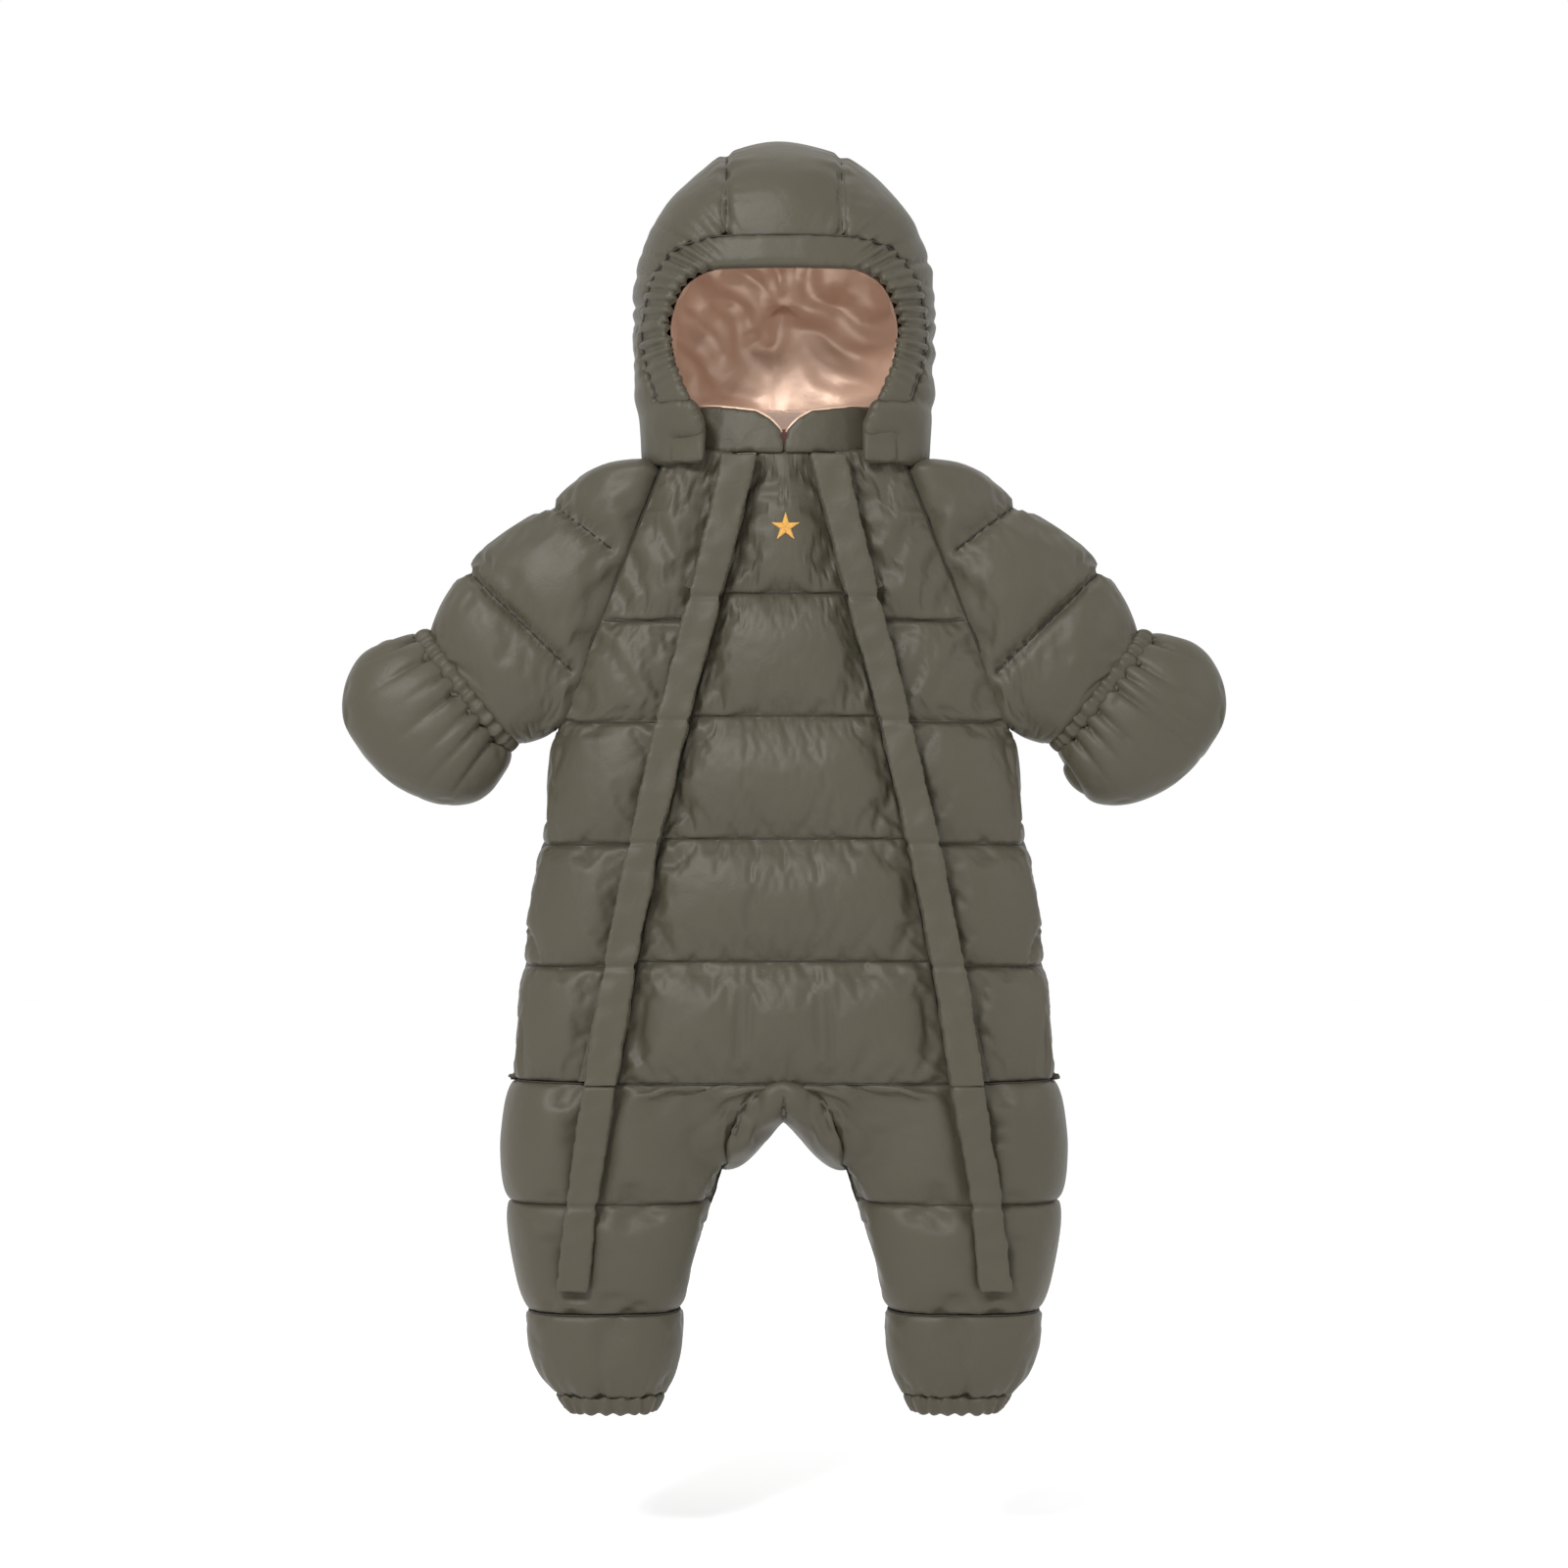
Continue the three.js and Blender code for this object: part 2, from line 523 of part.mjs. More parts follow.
function buildHood() {
  const wall = hoodBody(0).subtract(hoodBody(HOOD_WALL));
  const above = slab(HOOD_BASE_Z, FAR);
  const face = faceOpening(RIM_EDGE, [[TAB_INNER_X, -40], [TAB_INNER_X, TAB_TOP_Z], [59.5, 19]], 0);
  const rimZone = faceOpening(RIM_SEAM, [[RIM_SEAM[0][0], RIM_BOTTOM_Z]], 0);
  const rimRoom = faceOpening(RIM_SEAM, [[RIM_SEAM[0][0], RIM_BOTTOM_Z - SEAM]], SEAM);
  const tabs = block([-TAB_OUTER_X, -FAR, TAB_BOTTOM_Z], [TAB_OUTER_X, TAB_BACK_Y, TAB_TOP_Z]);
  const tabRoom = block([-FAR, -FAR, -FAR], [FAR, TAB_BACK_Y + SEAM, TAB_TOP_Z + SEAM]);

  const fabric = wall.intersect(above).subtract(rimRoom).subtract(face);
  const centre = block([-HOOD_CENTRE_HALF_WIDTH, -FAR, -FAR], [HOOD_CENTRE_HALF_WIDTH, FAR, FAR]);
  const side = block([HOOD_CENTRE_HALF_WIDTH + SEAM, -FAR, -FAR], [FAR, FAR, FAR]);
  addPart('hood_centre_panel', fabric.intersect(centre), SHELL());
  addPair('hood_side_panel', fabric.intersect(side).intersect(slab(HOOD_SIDE_SEAM_Z + SEAM, FAR)), SHELL);
  addPair('hood_lower_panel', fabric.intersect(side).intersect(slab(-FAR, HOOD_SIDE_SEAM_Z)).subtract(tabRoom), SHELL);
  addPair('hood_tab', wall.intersect(tabs).subtract(face).intersect(LEFT_SIDE), SHELL);
  addPart('hood_rim', wall.intersect(rimZone).subtract(face).intersect(slab(RIM_BOTTOM_Z, FAR)), SHELL());

  const inside = HOOD_WALL + 2.5 * SEAM;
  const liningOpening = faceOpening(RIM_EDGE, [[TAB_INNER_X, -40], [TAB_INNER_X, TAB_TOP_Z], [59.5, 19]], 1);
  const lining = hoodBody(inside).subtract(hoodBody(inside + LINING)).intersect(above).subtract(liningOpening);
  addPart('hood_lining', lining, SATIN());

  const deep = inside + LINING + 2.5 * SEAM;
  const elasticZone = faceOpening(RIM_EDGE.map(([x, z]) => [x + 9, z + (z > 90 ? 9 : 0)]), [[71, 24]], 0);
  const elasticHole = faceOpening(RIM_EDGE, [[56, 24]], 3);
  const elastic = hoodBody(deep).subtract(hoodBody(deep + 1.5)).intersect(elasticZone).subtract(elasticHole)
    .intersect(slab(24, FAR));
  addPart('hood_elastic', elastic, ELASTIC());
}

// ---------- sleeves and mittens ----------

function toVector([x, z], y = 0) {
  return new THREE.Vector3(x, y, z);
}

/** Ring on a slanted line from a top point to a bottom point. */
function slantedRing(top, bottom, depth, inset, roundness, count, shift = [0, 0]) {
  const a = toVector(top).add(toVector(shift));
  const b = toVector(bottom).add(toVector(shift));
  const half = a.clone().sub(b).multiplyScalar(0.5);
  const centre = b.clone().add(half);
  half.setLength(half.length() - inset);
  return ring(centre, half, new THREE.Vector3(0, depth - inset, 0), roundness, count);
}

function raglanOut() {
  const along = new THREE.Vector2(ARMPIT[0] - RAGLAN_TOP[0], ARMPIT[1] - RAGLAN_TOP[1]).normalize();
  return [-along.y, along.x];
}

function sleeveBody(inset) {
  const out = raglanOut();
  const rings = SLEEVE_SECTIONS.map(({ top, bottom, depth }, i) => {
    const shift = i === 0 ? [out[0] * SEAM, out[1] * SEAM] : [0, 0];
    return slantedRing(top, bottom, depth, inset, 2.4, 20, shift);
  });
  if (inset > 0) {
    const first = SLEEVE_SECTIONS[0];
    const last = SLEEVE_SECTIONS[SLEEVE_SECTIONS.length - 1];
    rings.unshift(slantedRing(first.top, first.bottom, first.depth, inset, 2.4, 20, out.map((value) => -3 * value)));
    rings.push(slantedRing(last.top, last.bottom, last.depth, inset, 2.4, 20, CUFF_OUT.map((value) => 3 * value)));
  }
  return loft(rings);
}

/** Ring across the mitten at a distance from the cuff. */
function mittenRing([distance, low, high, depth], inset, count = 20) {
  const at = (v) => [
    CUFF_CENTRE[0] + CUFF_OUT[0] * distance + CUFF_ALONG[0] * v,
    CUFF_CENTRE[1] + CUFF_OUT[1] * distance + CUFF_ALONG[1] * v,
  ];
  return slantedRing(at(high), at(low), depth, inset, 2.3, count);
}

function mittenBody(inset) {
  if (inset === 0) return loft(MITTEN_SECTIONS.map((section) => mittenRing(section, 0)));
  const shrunk = MITTEN_SECTIONS.slice(0, -1).map(([s, low, high, depth], i) => [
    i === 0 ? s - 4 : s - inset * 0.45, low, high, depth,
  ]);
  return loft(shrunk.map((section) => mittenRing(section, inset)));
}

function buildSleeves() {
  const sleeve = sleeveBody(0).subtract(sleeveBody(PADDING));
  addPair('sleeve', sleeve, SHELL);
  const lining = sleeveBody(PADDING + SEAM).subtract(sleeveBody(PADDING + SEAM + LINING));
  const room = sleeveBody(0);
  addPair('sleeve_lining', lining.intersect(room), SATIN);

  const band = [[BAND_START, -47, 44, 26.5], [-0.6, -48, 45, 26.5]];
  const bandHole = [[BAND_START - 3, -47, 44, 26.5], [3, -48, 45, 26.5]];
  const outer = loft(band.map((section) => mittenRing(section, 0)));
  const inner = loft(bandHole.map((section) => mittenRing(section, BAND_WALL)));
  addPair('mitten_band', outer.subtract(inner), ELASTIC);
  addPair('mitten', mittenBody(0).subtract(mittenBody(7.5)), SHELL);
}

// ---------- legs and crotch ----------

function legBody(inset, zTop, zBottom) {
  const stations = LEG_STATIONS.filter((z) => z < zTop && z > zBottom);
  return loft([zTop, ...stations, zBottom].map((z) => {
    const outer = lookUp(LEG_OUTER, z) - inset;
    const inner = lookUp(LEG_INNER, z) + inset;
    return levelRing((outer + inner) / 2, 0, z, (outer - inner) / 2, lookUp(LEG_DEPTH, z) - inset, 2.6, 20);
  }));
}

function legTube(wallInset, thickness, zTop, zBottom) {
  return legBody(wallInset, zTop, zBottom).subtract(legBody(wallInset + thickness, zTop + 3, zBottom - 3));
}

function buildLegs() {
  addPair('leg', legTube(0, PADDING, HIP_Z - SEAM - 0.3, FOOT_Z + SEAM / 2), SHELL);
  addPair('leg_lining', legTube(PADDING + SEAM, LINING, HIP_Z - SEAM - 0.3, HEM_Z + 8), SATIN);
  addPair('foot_section', legTube(0, PADDING - 1, FOOT_Z - SEAM / 2, HEM_Z + SEAM / 2), SHELL);
  addPair('foot_elastic', legTube(0.5, BAND_WALL, HEM_Z - SEAM / 2, TOE_Z), ELASTIC);
}

/** The sling of fabric between the legs, open towards the trunk. */
function buildCrotch() {
  const top = HIP_Z - SEAM - 0.3;
  const sling = (x) => {
    const across = Math.abs(x) / CROTCH_HALF_WIDTH;
    const bottom = -474 + 40 * (1 - across) ** 1.5;
    const wall = PADDING;
    const outer = [[-46, top], [-44, (top + bottom) / 2], [-30, bottom + 6], [0, bottom], [30, bottom + 6],
      [44, (top + bottom) / 2], [46, top]];
    const inner = [[46 - wall, top], [44 - wall, (top + bottom) / 2 + 2], [22, bottom + 6 + wall * 0.7],
      [0, bottom + wall * 0.8], [-22, bottom + 6 + wall * 0.7], [-(44 - wall), (top + bottom) / 2 + 2],
      [-(46 - wall), top]];
    return [...outer, ...inner].map(([y, z]) => new THREE.Vector3(x, y, z));
  };
  const stations = [-1, -0.66, -0.33, 0, 0.33, 0.66, 1].map((share) => share * CROTCH_HALF_WIDTH);
  addPart('crotch_gusset', loft(stations.map(sling)), SHELL());
}

buildTrunk();
buildZip();
buildSlider();
buildPull();
buildFlaps();
buildCollar();
buildHangerLoop();
buildMotif();
buildHood();
buildSleeves();
buildLegs();
buildCrotch();

export default suit;
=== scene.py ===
"""Looks of the quilted baby snowsuit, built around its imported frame."""

import functools
import json
import math

import bpy
import numpy as np
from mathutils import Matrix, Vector, kdtree
from mathutils.bvhtree import BVHTree
from mathutils.noise import noise as perlin


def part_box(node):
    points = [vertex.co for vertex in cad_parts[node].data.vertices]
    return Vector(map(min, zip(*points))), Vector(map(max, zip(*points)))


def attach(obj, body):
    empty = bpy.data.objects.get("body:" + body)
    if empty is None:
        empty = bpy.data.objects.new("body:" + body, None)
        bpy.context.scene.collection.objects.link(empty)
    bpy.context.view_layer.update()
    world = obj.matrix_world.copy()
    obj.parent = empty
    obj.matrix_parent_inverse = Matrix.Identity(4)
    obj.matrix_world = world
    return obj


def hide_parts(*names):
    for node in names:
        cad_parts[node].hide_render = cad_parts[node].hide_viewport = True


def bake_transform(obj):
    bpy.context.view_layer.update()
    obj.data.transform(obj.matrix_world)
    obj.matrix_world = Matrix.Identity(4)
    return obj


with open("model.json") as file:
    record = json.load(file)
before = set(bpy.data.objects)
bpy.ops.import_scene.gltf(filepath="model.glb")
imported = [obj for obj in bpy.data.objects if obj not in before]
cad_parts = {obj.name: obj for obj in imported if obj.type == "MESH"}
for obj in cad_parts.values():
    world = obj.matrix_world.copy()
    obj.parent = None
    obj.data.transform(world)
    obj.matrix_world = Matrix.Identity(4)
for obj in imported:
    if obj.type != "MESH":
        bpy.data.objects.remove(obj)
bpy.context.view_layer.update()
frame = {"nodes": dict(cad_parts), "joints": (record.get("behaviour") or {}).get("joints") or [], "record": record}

MM = 0.001
SPACING = 5 * MM  # grid step of the simulated fabric
SEAM_DEPTH = 4 * MM  # how far a seam is pulled in below the frame's surface
PUFF = 3.2 * MM  # how far the middle of a quilted cell stands out from it
PUFF_REACH = 9 * MM  # distance from a seam at which a cell is full
FABRIC = 2.2 * MM  # thickness of the closed quilted skin
TUCK = 2 * MM  # distance from a seam to the first row of free fabric
LINING_INSET = 7 * MM  # how far a lining lies inside its skin
THREAD_AND_SHADE_RADIUS = 0.5 * MM  # radius of the dark lines drawn along the seams: the stitching, with painted shade of the seam grooves in their colour
QUILT_STEP = 78 * MM  # distance between the horizontal quilt lines

# ---------------------------------------------------------------- frame measures


@functools.cache
def low(node):
    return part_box(node)[0]


@functools.cache
def high(node):
    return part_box(node)[1]


MID_Y = low("back_panel").y
HIP_Z = low("centre_front_panel").z
NECK_Z = high("back_panel").z
FOOT_Z = low("leg_left").z
HEM_Z = low("foot_section_left").z
TOE_Z = low("foot_elastic_left").z
CROTCH_X = high("crotch_gusset").x
CROTCH_Z = low("crotch_gusset").z
SIDES = {"left": 1, "right": -1}  # the wearer's sides, and the sign of X there


def joint(name):
    return next(j for j in frame["joints"] if j["name"] == name)


class Shape:
    """Meshes of some CAD nodes, for casting rays at and for cutting with planes."""

    def __init__(self, *names, mirror_y=None):
        verts, faces = [], []
        for name in names:
            mesh = frame["nodes"][name].data
            for flip in (False, True) if mirror_y is not None else (False,):
                base = len(verts)
                for v in mesh.vertices:
                    y = 2 * mirror_y - v.co.y if flip else v.co.y
                    verts.append((v.co.x, y, v.co.z))
                faces.extend([[base + i for i in p.vertices] for p in mesh.polygons])
        self.tree = BVHTree.FromPolygons(verts, faces)
        self.verts = np.array(verts)
        self.edges = np.array(sorted({tuple(sorted(e)) for f in faces for e in zip(f, f[1:] + f[:1])}))

    def cast(self, origin, direction):
        return self.tree.ray_cast(Vector(origin), Vector(direction).normalized())[0]

    def cut(self, point, normal):
        """Points where the edges cross a plane."""
        side = (self.verts - np.array(point, float)) @ np.array(normal, float)
        a, b = self.edges[:, 0], self.edges[:, 1]
        crosses = side[a] * side[b] < 0
        a, b = a[crosses], b[crosses]
        t = (side[a] / (side[a] - side[b]))[:, None]
        return self.verts[a] * (1 - t) + self.verts[b] * t

    def level(self, z):
        """Points at height z, or at the nearest height that the shape has."""
        lo, hi = self.verts[:, 2].min(), self.verts[:, 2].max()
        for shift in (0, 0.6 * MM, -0.6 * MM):
            found = self.cut((0, 0, min(max(z + shift, lo + 0.05 * MM), hi - 0.05 * MM)), (0, 0, 1))
            if len(found):
                return found


trunk = Shape("back_panel", mirror_y=MID_Y)
leg = Shape("leg_left", "foot_section_left", "foot_elastic_left")
sleeve = Shape("sleeve_left")
mitten = Shape("mitten_left")
flap = Shape("zip_flap_left")
leg_flap = Shape("leg_flap_left")


def depth_at(bvh, x, z):
    """Half depth of a body at (x, z), measured from its middle plane to its back surface."""
    hit = bvh.cast((x, 1, z), (0, -1, 0))
    return None if hit is None else max(hit.y - MID_Y, 0)


def smooth_depth(bvh, x, z, reach=6 * MM):
    """depth_at, averaged over its neighbourhood so that the frame's facets don't show."""
    steps = (-reach, 0, reach)
    found = [depth_at(bvh, x + dx, z + dz) for dx in steps for dz in steps]
    found = [d for d in found if d is not None]
    return sum(found) / len(found) if found else 0


def smoothstep(t):
    t = min(max(t, 0), 1)
    return t * t * (3 - 2 * t)


def bell(x, width):
    """1 at x = 0, fading to nothing over a few widths on both sides."""
    return math.exp(-(x / width) ** 2)


def fade(away, reach):
    """1 next to a seam, fading with the distance from it."""
    return math.exp(-away / reach)


# ---------------------------------------------------------------- outlines from the frame

def trunk_side(z):
    """Half width of the trunk at z: the raglan seam above the armpit, the side seam below it."""
    return trunk.level(z)[:, 0].max()


def flap_lines(z):
    """Inner and outer edge of the zip flap at z."""
    ring = (flap if z >= HIP_Z else leg_flap).level(z)
    ring = ring[ring[:, 1] < ring[:, 1].min() + 2 * MM]
    return ring[:, 0].min(), ring[:, 0].max()


ARMPIT_Z = low("sleeve_left").z + 5 * MM
SLIDER = 0.5 * (low("zip_slider_left") + high("zip_slider_left"))


def zip_x(z):
    """Line of the zip at z: the way its slider runs."""
    axis = joint("zip_left_slide")["axis"]
    return SLIDER.x + (z - SLIDER.z) * axis[0] / axis[2]


# ---------------------------------------------------------------- skins


def unit(vectors):
    return vectors / np.maximum(np.linalg.norm(vectors, axis=-1, keepdims=True), 1e-12)


class Skin:
    """A grid of fabric points, some of them pinned to seams."""

    def __init__(self, name, points, pins=None, wrap=False, outward=None):
        self.name = name
        self.p = np.array(points, float)
        rows, cols = self.p.shape[:2]
        self.pin = np.zeros((rows, cols), bool) if pins is None else np.array(pins, bool)
        self.wrap = wrap
        if self.facing(outward) < 0:
            self.p = self.p[:, ::-1].copy()
            self.pin = self.pin[:, ::-1].copy()

    def facing(self, outward):
        if outward is None:
            return 1
        centre = np.array(outward, float)
        return np.sum(self.normals() * (self.p - centre))

    def normals(self):
        if self.wrap:
            across = np.roll(self.p, -1, 1) - np.roll(self.p, 1, 1)
        else:
            across = np.gradient(self.p, axis=1)
        return unit(np.cross(np.gradient(self.p, axis=0), across))

    def faces(self, base=0):
        rows, cols = self.p.shape[:2]
        index = np.arange(rows * cols).reshape(rows, cols) + base
        right = np.roll(index, -1, 1)
        a, b, c, d = index[:-1], index[1:], right[1:], right[:-1]
        quads = np.stack([a, b, c, d], 2)
        if not self.wrap:
            quads = quads[:, :-1]
        return quads.reshape(-1, 4).tolist()

    def pin_edges(self, marks=(), bottom=True):
        """Pins the border, and the rows that are quilt lines."""
        self.pin[[0, *marks]] = True
        if bottom:
            self.pin[-1] = True
        if not self.wrap:
            self.pin[:, [0, -1]] = True

    def pin_line(self, a, b):
        """Pins the points nearest to the straight line a-b in the front view, moved onto it."""
        a, b = np.array(a, float), np.array(b, float)
        d = b - a
        flat = self.p[:, :, [0, 2]]
        t = ((flat - a) @ d) / (d @ d)
        foot = a + np.clip(t, 0, 1)[..., None] * d
        near = np.linalg.norm(flat - foot, axis=2) < 0.55 * SPACING
        free = near & ~self.pin
        self.p[free, 0] = foot[free, 0]
        self.p[free, 2] = foot[free, 1]
        self.pin |= near

    def smooth(self, times):
        for _ in range(times):
            q = self.p.copy()
            q[1:-1] = 0.5 * self.p[1:-1] + 0.25 * (self.p[:-2] + self.p[2:])
            if self.wrap:
                q = 0.5 * q + 0.25 * (np.roll(q, 1, 1) + np.roll(q, -1, 1))
            else:
                q[:, 1:-1] = 0.5 * q[:, 1:-1] + 0.25 * (q[:, :-2] + q[:, 2:])
            self.p = q

    def quilt(self, puff=PUFF, depth=SEAM_DEPTH, reach=PUFF_REACH):
        """Pulls the pinned points in and lifts the rest by how far they are from a seam."""
        flat = self.p.reshape(-1, 3)
        pinned = flat[self.pin.reshape(-1)]
        kd = kdtree.KDTree(len(pinned))
        for i, co in enumerate(pinned):
            kd.insert(co, i)
        kd.balance()
        away = np.array([kd.find(co)[2] for co in flat]).reshape(self.pin.shape)
        lift = (puff + depth) * (1 - np.exp(-(away / reach) ** 0.9)) - depth
        self.p += self.normals() * lift[..., None]


def doubled(values, axis, wrap):
    """Points halfway between those given, on a smooth curve through them, set between them."""
    v = np.moveaxis(values, axis, 0)
    if wrap:
        before, after, beyond = np.roll(v, 1, 0), np.roll(v, -1, 0), np.roll(v, -2, 0)
        middle = (9 * (v + after) - before - beyond) / 16
    else:
        middle = 0.5 * (v[:-1] + v[1:])
        middle[1:-1] = (9 * (v[1:-2] + v[2:-1]) - v[:-3] - v[3:]) / 16
    out = np.empty((len(v) + len(middle),) + v.shape[1:])
    out[0::2], out[1::2] = v, middle
    return np.moveaxis(out, 0, axis)


def refine(skin):
    """Twice as many rows and columns; a seam keeps its own line of points."""
    skin.p = doubled(doubled(skin.p, 0, False), 1, skin.wrap)
    pin = np.zeros(skin.p.shape[:2], bool)
    pin[::2, ::2] = skin.pin
    pin[::2][skin.pin.all(1)] = True
    pin[:, ::2][:, skin.pin.all(0)] = True
    skin.pin = pin


def pucker(skin, depth=0.9 * MM, reach=9 * MM, length=7 * MM):
    """Small folds that run out from every straight seam of a skin, across the seam's direction."""
    normals = skin.normals()
    for axis in (0, 1):
        p = np.moveaxis(skin.p, axis, 0)
        pin = np.moveaxis(skin.pin, axis, 0)
        lift = np.zeros(pin.shape)
        for i in range(len(p)):
            if not pin[i].all():
                continue
            steps = np.linalg.norm(np.diff(p[i], axis=0), axis=1)
            along = np.concatenate([[0], np.cumsum(steps)])
            seed = 3.7 * i + 11.3 * axis + 0.1 * len(skin.name)
            folds = np.array([noise(s / length, seed) + 0.6 * noise(s / (2.7 * length), seed, 5)
                              for s in along])
            away = np.linalg.norm(p - p[i], axis=2)
            lift += folds * np.exp(-away / reach) * (1 - np.exp(-away / (1.5 * MM)))
        skin.p += normals * (depth * np.moveaxis(lift, 0, axis))[..., None]


def seam_lines(skin, lift=0.3 * MM):
    """Lines of points along every straight seam of a skin, lying on its surface."""
    p = skin.p + skin.normals() * lift
    lines = []
    for line in p[skin.pin.all(1)]:
        lines.append(np.concatenate([line, line[:1]]) if skin.wrap else line[2:-2])
    return lines + list(np.moveaxis(p, 1, 0)[skin.pin.all(0)])


def add_object(name, data):
    obj = bpy.data.objects.new(name, data)
    bpy.context.scene.collection.objects.link(obj)
    return obj


def mesh_object(name, verts, faces, smooth=True):
    mesh = bpy.data.meshes.new(name)
    mesh.from_pydata([tuple(v) for v in verts], [], faces)
    mesh.update()
    if smooth:
        mesh.shade_smooth()
    return add_object(name, mesh)


def apply_modifiers(obj):
    bpy.context.view_layer.update()
    graph = bpy.context.evaluated_depsgraph_get()
    mesh = bpy.data.meshes.new_from_object(obj.evaluated_get(graph), depsgraph=graph)
    obj.modifiers.clear()
    old = obj.data
    obj.data = mesh
    bpy.data.meshes.remove(old)
    obj.data.name = obj.name
    obj.data.shade_smooth()


def closed_skin(skin):
    """Closed piece: the skin, a backing behind it and an edge all round."""
    faces = skin.faces()
    if skin.name.startswith("mitten"):
        rows, cols = skin.pin.shape
        faces.append([(rows - 1) * cols + k for k in range(cols)][::-1])
    obj = mesh_object(skin.name, skin.p.reshape(-1, 3), faces)
    solid = obj.modifiers.new("backing", "SOLIDIFY")
    solid.thickness = FABRIC
    solid.offset = -1
    solid.use_even_offset = False
    apply_modifiers(obj)
    return obj


CLOTH = dict(
    quality=4, mass=0.004, air_damping=2.0, tension_stiffness=12, compression_stiffness=12,
    shear_stiffness=4, bending_stiffness=0.02, tension_damping=4, compression_damping=4,
    use_pressure=True, vertex_group_mass="pins",
)


def simulate(skins, frames, pressure, growth, cap):
    """One cloth simulation over every skin: air from behind, and spare fabric between the seams."""
    verts = np.concatenate([s.p.reshape(-1, 3) for s in skins])
    faces, base = [], 0
    for s in skins:
        faces.extend(s.faces(base))
        base += s.pin.size
    obj = mesh_object("cloth_workpiece", verts, faces, smooth=False)
    group = obj.vertex_groups.new(name="pins")
    pins = np.concatenate([s.pin.reshape(-1) for s in skins])
    group.add([int(i) for i in np.nonzero(pins)[0]], 1.0, "REPLACE")
    cloth = obj.modifiers.new("cloth", "CLOTH")
    for key, value in CLOTH.items():
        setattr(cloth.settings, key, value)
    cloth.settings.uniform_pressure_force = pressure
    cloth.settings.shrink_min = cloth.settings.shrink_max = -growth
    cloth.settings.effector_weights.gravity = 0
    cloth.collision_settings.use_collision = False
    cloth.collision_settings.use_self_collision = False
    cloth.point_cache.frame_start = 1
    cloth.point_cache.frame_end = frames
    scene = bpy.context.scene
    for number in range(1, frames + 1):
        scene.frame_set(number)
    graph = bpy.context.evaluated_depsgraph_get()
    done = obj.evaluated_get(graph).to_mesh()
    co = np.zeros(len(verts) * 3)
    done.vertices.foreach_get("co", co)
    co = co.reshape(-1, 3)
    move = co - verts
    length = np.linalg.norm(move, axis=1, keepdims=True)
    move *= np.minimum(1, cap / np.maximum(length, 1e-9))
    co = verts + move
    bpy.data.objects.remove(obj)
    scene.frame_set(1)
    base = 0
    for s in skins:
        count = s.pin.size
        s.p = co[base:base + count].reshape(s.p.shape)
        base += count


def clear_pull(skin, slope=18 * MM, gap=2.2 * MM):
    """Presses a side panel down under the zip pull that lies on it."""
    box_low, box_high = low("zip_pull_left"), high("zip_pull_left")
    x, z = abs(skin.p[:, :, 0]), skin.p[:, :, 2]
    away = np.maximum.reduce([box_low.x - x, x - box_high.x, box_low.z - z, z - box_high.z])
    share = np.clip(1 - away / slope, 0, 1)
    limit = box_high.y + gap
    y = skin.p[:, :, 1]
    skin.p[:, :, 1] = np.where(y < limit, y + (limit - y) * share ** 0.7, y)


def give_relief(skin, relief):
    lift = np.array([relief(*p) for p in skin.p.reshape(-1, 3)]).reshape(skin.pin.shape)
    skin.p += skin.normals() * lift[..., None]


def mirrored(skin, name):
    """The same skin on the wearer's right."""
    points = (skin.p * np.array([-1, 1, 1]))[:, ::-1]
    return Skin(name, points, skin.pin[:, ::-1], skin.wrap)


def spread(a, b):
    """Positions from a to b: close together next to both ends, where the seams are."""
    sign = 1 if b > a else -1
    inner_a, inner_b = a + sign * TUCK, b - sign * TUCK
    n = max(2, round(abs(inner_b - inner_a) / SPACING))
    return [a] + [inner_a + (inner_b - inner_a) * i / n for i in range(n + 1)] + [b]


def rows_between(marks):
    """Row positions through every mark, with the index of each mark."""
    rows, at = [marks[0]], [0]
    for a, b in zip(marks, marks[1:]):
        rows.extend(spread(a, b)[1:])
        at.append(len(rows) - 1)
    return rows, at


def shares(count, width):
    """Shares of a width, from 0 to 1, close together next to both ends."""
    tuck = TUCK / width
    return [0] + [tuck + (1 - 2 * tuck) * i / (count - 2) for i in range(count - 1)] + [1]


# ---------------------------------------------------------------- trunk, legs and crotch surfaces

QUILTS = [HIP_Z + k * QUILT_STEP for k in (4, 3, 2, 1)]  # heights of the trunk's quilt lines


def trunk_depth(x, z):
    z = min(max(z, HIP_Z + 7 * MM), NECK_Z - 7 * MM)
    edge = trunk_side(z)
    x = abs(x)
    if z < ARMPIT_Z and x > edge - 4 * MM:
        inner = smooth_depth(trunk, edge - 6 * MM, z, 2 * MM)
        return inner * math.sqrt(max(0, (edge - x) / (6 * MM)))
    return smooth_depth(trunk, min(x, edge - 6.5 * MM), z)


def crotch_bottom(x):
    """Lowest point of the suit between the legs, at x."""
    top = CROTCH_Z + 40 * MM
    round_off = 3 * MM
    x = math.hypot(x, round_off) - round_off
    return CROTCH_Z + (top - CROTCH_Z) * (1 - min(x / CROTCH_X, 1)) ** 1.6


def saddle_depth(x, z):
    """The trunk's surface carried on below the hip until it turns under between the legs."""
    below = (HIP_Z - z) / (HIP_Z - crotch_bottom(x))
    if below >= 1:
        return 0
    return trunk_depth(x, HIP_Z) * math.sqrt(1 - max(below, 0) ** 2)


def leg_inner(z):
    return leg.level(z)[:, 0].min()


def leg_outer(z):
    return leg.level(z)[:, 0].max()


